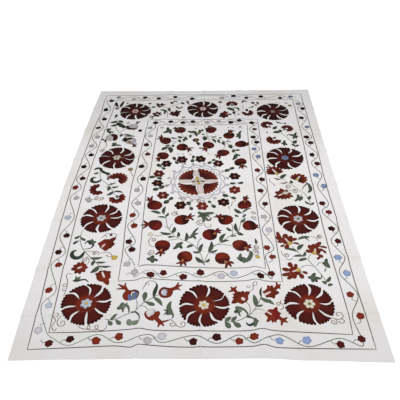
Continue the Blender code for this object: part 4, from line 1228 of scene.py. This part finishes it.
# Stems and tendrils in thin chain stitch: for each dye the routes, as the points they pass
stems = {
    "vine": (
        ((1.7, -69), (2, -65), (3, -61.5), (6, -55), (8.5, -53), (14, -48), (17.5, -45), (20, -43.5),
         (21.5, -42), (22.5, -37), (23.5, -33), (25.5, -30), (24.5, -26), (26, -24)),
        ((17.5, -45), (18, -41.5), (18, -38), (17.3, -36)),
        ((6.5, -54), (9, -52.7), (13, -52.8), (17, -53.5)), ((4, -59), (6.5, -59.3), (8.5, -59.8)),
        ((1.3, -68), (0.5, -63), (-2.5, -56), (-7, -51), (-13, -48), (-17.5, -43.5), (-20.5, -37),
         (-22, -29), (-24.5, -26)),
        ((-19.5, -40), (-22, -37.5)), ((-18.7, -40.5), (-18.5, -38), (-17, -35.5)),
        ((-13.5, -48.2), (-17, -49), (-19, -49.3)), ((-2.2, -56), (-2.2, -53), (-1.5, -50), (0, -48)),
        ((0.5, 70), (2, 62), (3, 56), (4.5, 50)),
        ((3, 56), (8, 54), (13, 51), (16.5, 47.5), (20, 42), (22.5, 36), (24, 29)),
        ((18.7, 52.5), (17, 50), (14.5, 48)), ((16, 46), (14.8, 42), (14.5, 39.5)),
        ((20, 42.5), (23, 44), (24.5, 45)),
        ((1, 66), (-3, 61), (-8, 58), (-13.5, 56), (-18, 52), (-22, 46), (-25, 40), (-27, 36)),
        ((-14.5, 55), (-16, 59), (-17, 61)), ((-20, 49), (-23.5, 50)), ((-13, 56), (-14.5, 50), (-15, 47)),
        ((-70, -41), (-69.8, -48.5), (-67, -55.5), (-63, -60.5), (-58, -65.5), (-55, -69), (-53, -72)),
        ((-69.5, 16), (-67.5, 7), (-62, 1), (-57, -6.5), (-55.5, -10)), ((-60.5, -1), (-63, -2.4)),
        ((-60, -1.4), (-58, 2.4), (-57, 4.5)),
        ((-67, 82), (-67, 79), (-66.5, 68), (-63, 62), (-60, 59.5), (-57.5, 56), (-57, 53)),
        ((-63, 62), (-58, 66)), ((-61, 60.5), (-65, 58.6)), ((24.5, 82.5), (24, 91), (23.2, 97.6)),
        ((12.5, 100), (13, 94)), ((24.2, 90), (28, 91.4), (31, 91)),
        ((-28.6, 82), (-28.6, 88), (-28.2, 95), (-24, 101), (-18, 104.6)), ((-28.6, 90), (-31.4, 89.4)),
        ((-28.4, 93), (-24.8, 91.6)),
        ((57.5, 62), (57.5, 59), (60, 55.5), (62, 51.5), (64.5, 47), (65, 43), (64.5, 40)),
        ((57.5, 61), (54, 66)), ((57.6, 61.4), (60, 63)),
        ((48.8, 9.4), (53, 5), (57.5, -1), (62, -6), (64.5, -9), (65.5, -13), (66.5, -17), (66, -21)),
        ((54.5, -6.5), (57, -5), (60, -5)),
        ((50.5, -54), (53, -58), (57, -63.5), (61, -69.5), (64.5, -77), (65, -80)),
        ((60.5, -60), (58.8, -62), (58.5, -64.5)), ((53.5, -70), (55, -68.5), (58, -68), (60.5, -68.8)),
        ((-46.8, -102.4), (-44.2, -103), (-41.5, -102.8), (-38.6, -101.2), (-35.4, -99.5), (-33.6, -98.8),
         (-31.8, -97.2), (-29.6, -94.4), (-27.6, -92.2), (-25.4, -90.4), (-22.6, -88.4), (-20.6, -87.3)),
        ((-32.4, -91), (-31.7, -94), (-31.9, -97)), ((-30, -95), (-27.6, -95.3), (-25.6, -97.4)),
        ((12, -103.2), (15.6, -103.8), (19, -102.9), (22.4, -101), (24.6, -99.6), (26.6, -97), (28, -95),
         (29.4, -92.4), (30.4, -89.8)),
        ((24.3, -99.6), (24.7, -96.4), (24.2, -94), (23, -92.2))),
    "curl": (
        ((-15, -25), (-15.6, -27.4), (-14, -28.5)), ((-27.5, -45.2), (-25, -46), (-22.5, -44.8)),
        ((-28.7, -47), (-30, -50), (-29.5, -53), (-28, -54.3), (-26.5, -54.3)), ((-30, -60), (-28, -61.5)),
        ((1.2, -34.5), (1.5, -37), (3, -39), (5.5, -38), (4.6, -36)),
        ((21, -15), (18.5, -17), (18, -20), (16, -21), (17, -23.5)),
        ((27, -58.5), (28.5, -60.5), (30, -61.5), (31.5, -60), (31.5, -58), (29.8, -56.5), (29.2, -54.5)),
        ((3, 36), (4.5, 33)),
        ((-50, -47), (-49.3, -45), (-51, -43.8), (-55, -44), (-56, -45), (-54.5, -46.7)),
        ((-57.8, -47.5), (-56, -45)), ((-65, -58), (-60.5, -57.7), (-58, -58), (-57, -59.5), (-57.5, -61)),
        ((-57, -59.3), (-52, -58.5), (-49.5, -61), (-50.5, -62), (-52.8, -61), (-51.5, -60.3)),
        ((-63.5, -61.5), (-61.5, -64.5), (-62, -67.5)),
        ((-72, -10), (-71, -12.5), (-69, -14), (-67, -14), (-64.5, -14.6), (-63, -14.2)),
        ((-71, 49), (-69.7, 45), (-71, 41.5), (-71.5, 38), (-72, 35.5)), ((31, 100), (31, 93)),
        ((57, 105), (60, 104), (61, 102)), ((43.7, 6.5), (43.7, 3.5), (45, 1), (46.5, -2)),
        ((65.8, -50), (65.5, -47.5), (66.5, -45.5), (68.5, -45)), ((62.5, -46.5), (65, -47.5)),
        ((44.3, -57.5), (44.5, -59.5), (46.5, -63.5), (48, -64.8), (50, -63)),
        ((-23.2, -81), (-24.2, -79.4), (-26.2, -78.7), (-28.2, -79.8), (-29, -82), (-29.9, -84.8)),
        ((24.9, -85.8), (26.8, -84.4), (27, -82.6), (27, -81), (28, -79.7), (29.2, -80.8), (28.4, -82.3),
         (27, -82.2))),
    "bark": (
        ((-49, 18), (-48, 13), (-46, 9)), ((-33, 97), (-30, 96), (-28.4, 94)),
        ((-14.3, -102.8), (-12.6, -104.2), (-11.6, -105.6), (-10, -106.8), (-7.9, -106.6), (-7.2, -104.8),
         (-8.4, -103.9), (-9.4, -105), (-8.5, -105.7)),
        ((-11.6, -105.4), (-13, -106.5), (-14.4, -105.8), (-14.2, -104.7), (-13, -104.9)),
        ((-59, -106.5), (-57, -107.8), (-53.6, -108.3), (-53, -107), (-53.8, -106), (-54.5, -107),
         (-53.4, -108.4), (-50, -108.6), (-49, -107.2), (-50, -105.8), (-50.8, -107), (-49.2, -108.4),
         (-47, -109), (-45.4, -107.8), (-45.1, -105.8)),
        ((-68.6, -74.2), (-71, -74), (-71.6, -75.8), (-70.2, -79), (-69.7, -84), (-70.2, -89)),
        ((-70, -82.2), (-71.4, -82.8), (-72.2, -81.6), (-71, -80.6), (-70.2, -81.8)),
        ((-68.2, -100.8), (-69.4, -102.6), (-69.6, -104.8), (-68, -106.6), (-66, -106), (-65.9, -104.2),
         (-67.2, -103.6), (-68, -104.6), (-67, -105)),
        ((-72.6, -98.2), (-72.4, -101.2), (-70.6, -103.4), (-71.6, -106), (-71, -108.4), (-69.6, -109.1),
         (-69.2, -107.6)),
        ((-71.8, -101.6), (-70.2, -101.2), (-70, -99.8), (-71, -99.2), (-71.5, -100.1)),
        ((39.2, -97), (41, -95.8), (41.2, -94.2), (40, -92.8), (38.6, -92.4), (38, -93.4), (38.9, -94.1),
         (39.8, -93.2), (40.4, -90.8)),
        ((63.4, -101.6), (64.6, -101.7), (65.8, -102.2), (68.2, -102), (69.5, -100.4), (69, -98.8),
         (67.7, -98.2), (66.4, -98.9), (66.5, -100.2), (67.4, -100.2), (67.6, -99.6)),
        ((65.4, -102.1), (66, -103.6), (65.6, -104.6), (64.4, -105), (63.2, -104.2), (63.5, -103.1),
         (64.6, -103.2), (65, -104.4)),
        ((68.4, -102), (69.5, -102.8), (69.2, -104), (67.8, -104.4), (66.8, -103.7), (67.6, -103.2))),
    "wine": (((-63.4, 7.4), (-62.5, 10), (-61.6, 7.4)),),
    "leaf": (((60.2, -12.8), (61.6, -11.4), (62.5, -9)), ((62, -68.5), (63.5, -66.5), (65, -66.2))),
    "ash": (
        ((-28.4, -81.2), (-27.8, -80.6), (-27, -81.2), (-27.2, -82)),
        ((26, -97.6), (28.4, -97), (31.6, -97.8)),
        ((24.2, -81.4), (23.8, -82.6), (24.8, -83.2), (25.6, -82.4), (25, -81.6))),
    "line": (((-70, -85), (-71.2, -85.4), (-71.6, -84.4), (-70.6, -84)),),
}


# Bands, bodies with their arms, and pale slits, on whichever family the dye belongs to
def laySprays():
    for dye, profile, width, *points in sprays:
        family = "leaves" if dyes[dye][0] == "green" else "flowers"
        layBand(family, dye, points, width, profile, 0.45, layer=0.0 if family == "leaves" else 0.6)
    for x, y, radius, teeth, dye, second, lean, arms in bodies:
        family = "leaves" if dyes[dye][0] == "green" else "flowers"
        lean = math.radians(lean)
        layBlob(family, dye, x, y, burst(x, y, radius, teeth, arms), second, lean, 0.4, 23 if arms else 9)
    for ax, ay, bx, by, width in slits:
        layBand("hearts", "shell", [(ax, ay), (bx, by)], width, "lens", 0.5, layer=0.9)
    layBlob("hearts", "cream", *paleHeart["place"], even(paleHeart["radius"], 0.8), cells=7, layer=1.4)


# Spots, spirals whose radius shrinks as they turn once and a half, and stems
def layTrimmings():
    for x, y, radius, dye in spots:
        layBlob("spots", dye, x, y, lobed(radius, 3, 0.12, x, y), cells=7)
    turn = np.linspace(0, 1, 22)
    for x, y, radius, *dye in spirals:
        angle = turn * 3 * math.pi * (1 if (x + y) % 2 > 1 else -1) + x
        reach = 1.3 * radius * (1 - 0.78 * turn)
        route = np.stack([x + reach * np.cos(angle), y + reach * np.sin(angle)], -1)
        layLine("tendrils", dye[0] if dye else "curl", route, 0.5)
    for dye, routes in stems.items():
        for points in routes:
            layLine("tendrils", dye, points)


# Sewing: slanting stitches over the seams and small ones along the hems, in metres. seamRun: from and to
# along the seam. arch: height of the four cross sections. share: where the hem's stitches start and end
sewing = {
    "stitchWidth": 0.0009, "arch": (-0.0004, 0.0003, 0.0003, -0.0004), "crown": 0.0002, "embed": 0.0007,
    "seamPitch": 0.010, "seamReach": 0.0026, "seamRun": (-0.0015, 0.0025), "seamEnd": 0.02,
    "hemPitch": 0.014, "hemInset": 0.0075, "hemRun": 0.0045, "hemTurn": 0.0012, "hemEnd": 0.03,
    "share": (0.02, 0.98), "loomWidth": 0.59,
}


# Many stitches at once: each is a short arch of four cross sections, put down along start and end points
def laySewing(name, start, end, finish):
    share = np.array([0.0, 0.3, 0.7, 1.0])
    arch = np.array(sewing["arch"])
    run = end - start
    side = np.stack([-run[:, 1], run[:, 0]], -1) / np.hypot(*run.T)[:, None] * sewing["stitchWidth"] / 2
    spine = start[:, None] + run[:, None] * share[None, :, None]
    plan = np.stack([spine - side[:, None], spine, spine + side[:, None]], 2)
    top = clothUnder(plan[..., 0], plan[..., 1]) + cloth["thickness"]
    crown = arch[None, :, None] + np.array([0.0, sewing["crown"], 0.0])[None, None]
    upper = np.concatenate([plan, (top + crown)[..., None]], -1).reshape(len(start), -1, 3)
    lower = np.concatenate([plan, (top - sewing["embed"])[..., None]], -1).reshape(len(start), -1, 3)
    points = np.concatenate([upper, lower], 1).reshape(-1, 3)
    faces = slabFaces(4, 3)[None] + (np.arange(len(start)) * 24)[:, None, None]
    faces = faces.reshape(-1, 4)
    corner = points[faces[0]]
    if np.cross(corner[1] - corner[0], corner[2] - corner[1])[2] < 0:
        faces = faces[:, ::-1]
    colours = np.ones((len(points), 1)) * linear(dyes["white"][1])
    piece = buildMesh(name, points, faces, points[:, :2].copy(), colours)
    piece.data.materials.append(finish)
    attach(piece, "root")
    return piece


# Slanting stitches from one side of a seam to the other
def seamStitches(line, finish):
    half = cloth["length"] / 2 - sewing["seamEnd"]
    y = np.arange(-half, half, sewing["seamPitch"])
    x = alongLine(line, y)
    reach, (first, last) = sewing["seamReach"], sewing["seamRun"]
    start, end = np.stack([x - reach, y + first], -1), np.stack([x + reach, y + last], -1)
    return laySewing(line + "_stitches", start, end, finish)


# Running stitches inside all four edges, each turned a little towards the edge
def hemStitches(finish):
    half, inset, pitch = cloth["length"] / 2, sewing["hemInset"], sewing["hemPitch"]
    run, turn = sewing["hemRun"], sewing["hemTurn"]
    starts, ends = [], []
    for line, hand in (("left_edge", 1), ("right_edge", -1)):
        y = np.arange(-half + sewing["hemEnd"], half - sewing["hemEnd"], pitch)
        x = alongLine(line, y) + hand * inset
        starts.append(np.stack([x, y], -1))
        ends.append(np.stack([x - hand * turn, y + run], -1))
    for _, left, right in cloth["panels"]:
        share = np.arange(*sewing["share"], pitch / sewing["loomWidth"])
        for row, hand in ((-half, 1), (half, -1)):
            x, y = panelPlan(left, right, share, np.full(share.shape, row + hand * inset))
            starts.append(np.stack([x, y], -1))
            ends.append(np.stack([x + run, y - hand * turn], -1))
    return laySewing("hem_stitches", np.concatenate(starts), np.concatenate(ends), finish)


print("cloth")
cottonLook = cottonFinish()
panels = [makePanel(name, left, right, cottonLook) for name, left, right in cloth["panels"]]

print("frame lines and vines")
for frameName, sides in frameLines.items():
    frameDye = "line" if frameName in ("outer", "second") else "slate"
    for points, dye in zip(sides, (frameDye, frameDye, "curl", frameDye)):
        layLine("frame_lines", dye, points, frameWidth, 0.8)
layLane(outerBuds, lanes["outer"])
layLane(innerBuds, lanes["inner"])

print("rosettes, middle and pomegranates")
for rosette in rosettes["places"]:
    layRosette(*rosette)
layMedallion()
for pomegranate in pomegranates:
    layPomegranate(*pomegranate)

print("leaves, flowers and tendrils")
layLeaves()
layFlowers()
laySprays()
layTrimmings()

needlePieces = []
looks = {}
lineFamilies = ("frame_lines", "vines", "tendrils")
for (family, slotWord), (points, faces, thread, colours, _) in stitched.items():
    couched = family not in lineFamilies
    if (slotWord, couched) not in looks:
        looks[slotWord, couched] = silkFinish(slotWord, couched)
    piece = buildMesh(family + "_" + slotWord, np.concatenate(points), np.concatenate(faces),
                      np.concatenate(thread), np.concatenate(colours))
    piece.data.materials.append(looks[slotWord, couched])
    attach(piece, "root")
    "thread_" + slotWord
    needlePieces.append(piece)
print("needlework pieces", len(needlePieces), "faces", sum(len(p.data.polygons) for p in needlePieces))

print("sewing")
sewingLook = looks["white", True]
sewn = {"panel_left": [seamStitches("left_seam", sewingLook)], "panel_centre": [hemStitches(sewingLook)],
        "panel_right": [seamStitches("right_seam", sewingLook)]}
for (name, _, _), (piece, area) in zip(cloth["panels"], panels):
    withPieces = sewn[name] + (needlePieces if name == "panel_centre" else [])

# Stage: a pale floor, a large soft lamp over the cloth, and even light all round
stage = {
    "floorSize": 120.0, "floorColour": (0.93, 0.93, 0.93), "worldStrength": 0.86, "floorGlow": 0.22,
    "lampPlace": (0.5, -0.2, 3.4), "lampAim": (0.15, -0.1, 0.0), "lampSize": 2.6, "lampPower": 22.0,
}
# Camera: place in metres, angles in degrees, focal length in pixels of its picture, sensor in millimetres
camera = {
    "place": (0.0678, -2.3897, 1.9753), "pitch": 41.357, "yaw": -1.804, "roll": -1.363,
    "focalPixels": 478.65, "imagePixels": 400, "sensor": 36.0,
}


# The floor, the even light and the lamp, turned so that it looks from its place to its aim
def makeStage():
    mesh = bpy.data.meshes.new("floor")
    half = stage["floorSize"] / 2
    corners = [(-half, -half, 0), (half, -half, 0), (half, half, 0), (-half, half, 0)]
    mesh.from_pydata(corners, [], [(0, 1, 2, 3)])
    floor = bpy.data.objects.new("floor", mesh)
    bpy.context.scene.collection.objects.link(floor)
    finish = Finish("pale floor")
    finish.set(Base_Color=(*stage["floorColour"], 1), Roughness=0.9, Emission_Color=(1, 1, 1, 1),
               Emission_Strength=stage["floorGlow"])
    mesh.materials.append(finish.material)
    world = bpy.data.worlds.new("even light")
    world.use_nodes = True
    world.node_tree.nodes["Background"].inputs[0].default_value = (1, 1, 1, 1)
    world.node_tree.nodes["Background"].inputs[1].default_value = stage["worldStrength"]
    bpy.context.scene.world = world
    lamp = bpy.data.lights.new("soft lamp", "AREA")
    lamp.shape, lamp.size, lamp.energy = "DISK", stage["lampSize"], stage["lampPower"]
    holder = bpy.data.objects.new("soft lamp", lamp)
    holder.location = stage["lampPlace"]
    aim = Vector(stage["lampAim"]) - Vector(stage["lampPlace"])
    holder.rotation_euler = aim.to_track_quat("-Z", "Y").to_euler()
    bpy.context.scene.collection.objects.link(holder)
    bpy.context.scene.view_settings.view_transform = "Standard"


# The camera looks along its pitch and yaw and is rolled about that line
def makeCamera():
    pitch, yaw, roll = (math.radians(camera[key]) for key in ("pitch", "yaw", "roll"))
    ahead = Vector((math.sin(yaw) * math.cos(pitch), math.cos(yaw) * math.cos(pitch), -math.sin(pitch)))
    right = Vector((math.cos(yaw), -math.sin(yaw), 0))
    up = right.cross(ahead)
    across = right * math.cos(roll) + up * math.sin(roll)
    upright = up * math.cos(roll) - right * math.sin(roll)
    data = bpy.data.cameras.new("camera")
    data.sensor_width = camera["sensor"]
    data.lens = camera["focalPixels"] * camera["sensor"] / camera["imagePixels"]
    holder = bpy.data.objects.new("camera", data)
    holder.matrix_world = Matrix((across, upright, -ahead)).transposed().to_4x4()
    holder.location = camera["place"]
    bpy.context.scene.collection.objects.link(holder)
    bpy.context.scene.camera = holder


print("stage and camera")
makeStage()
makeCamera()
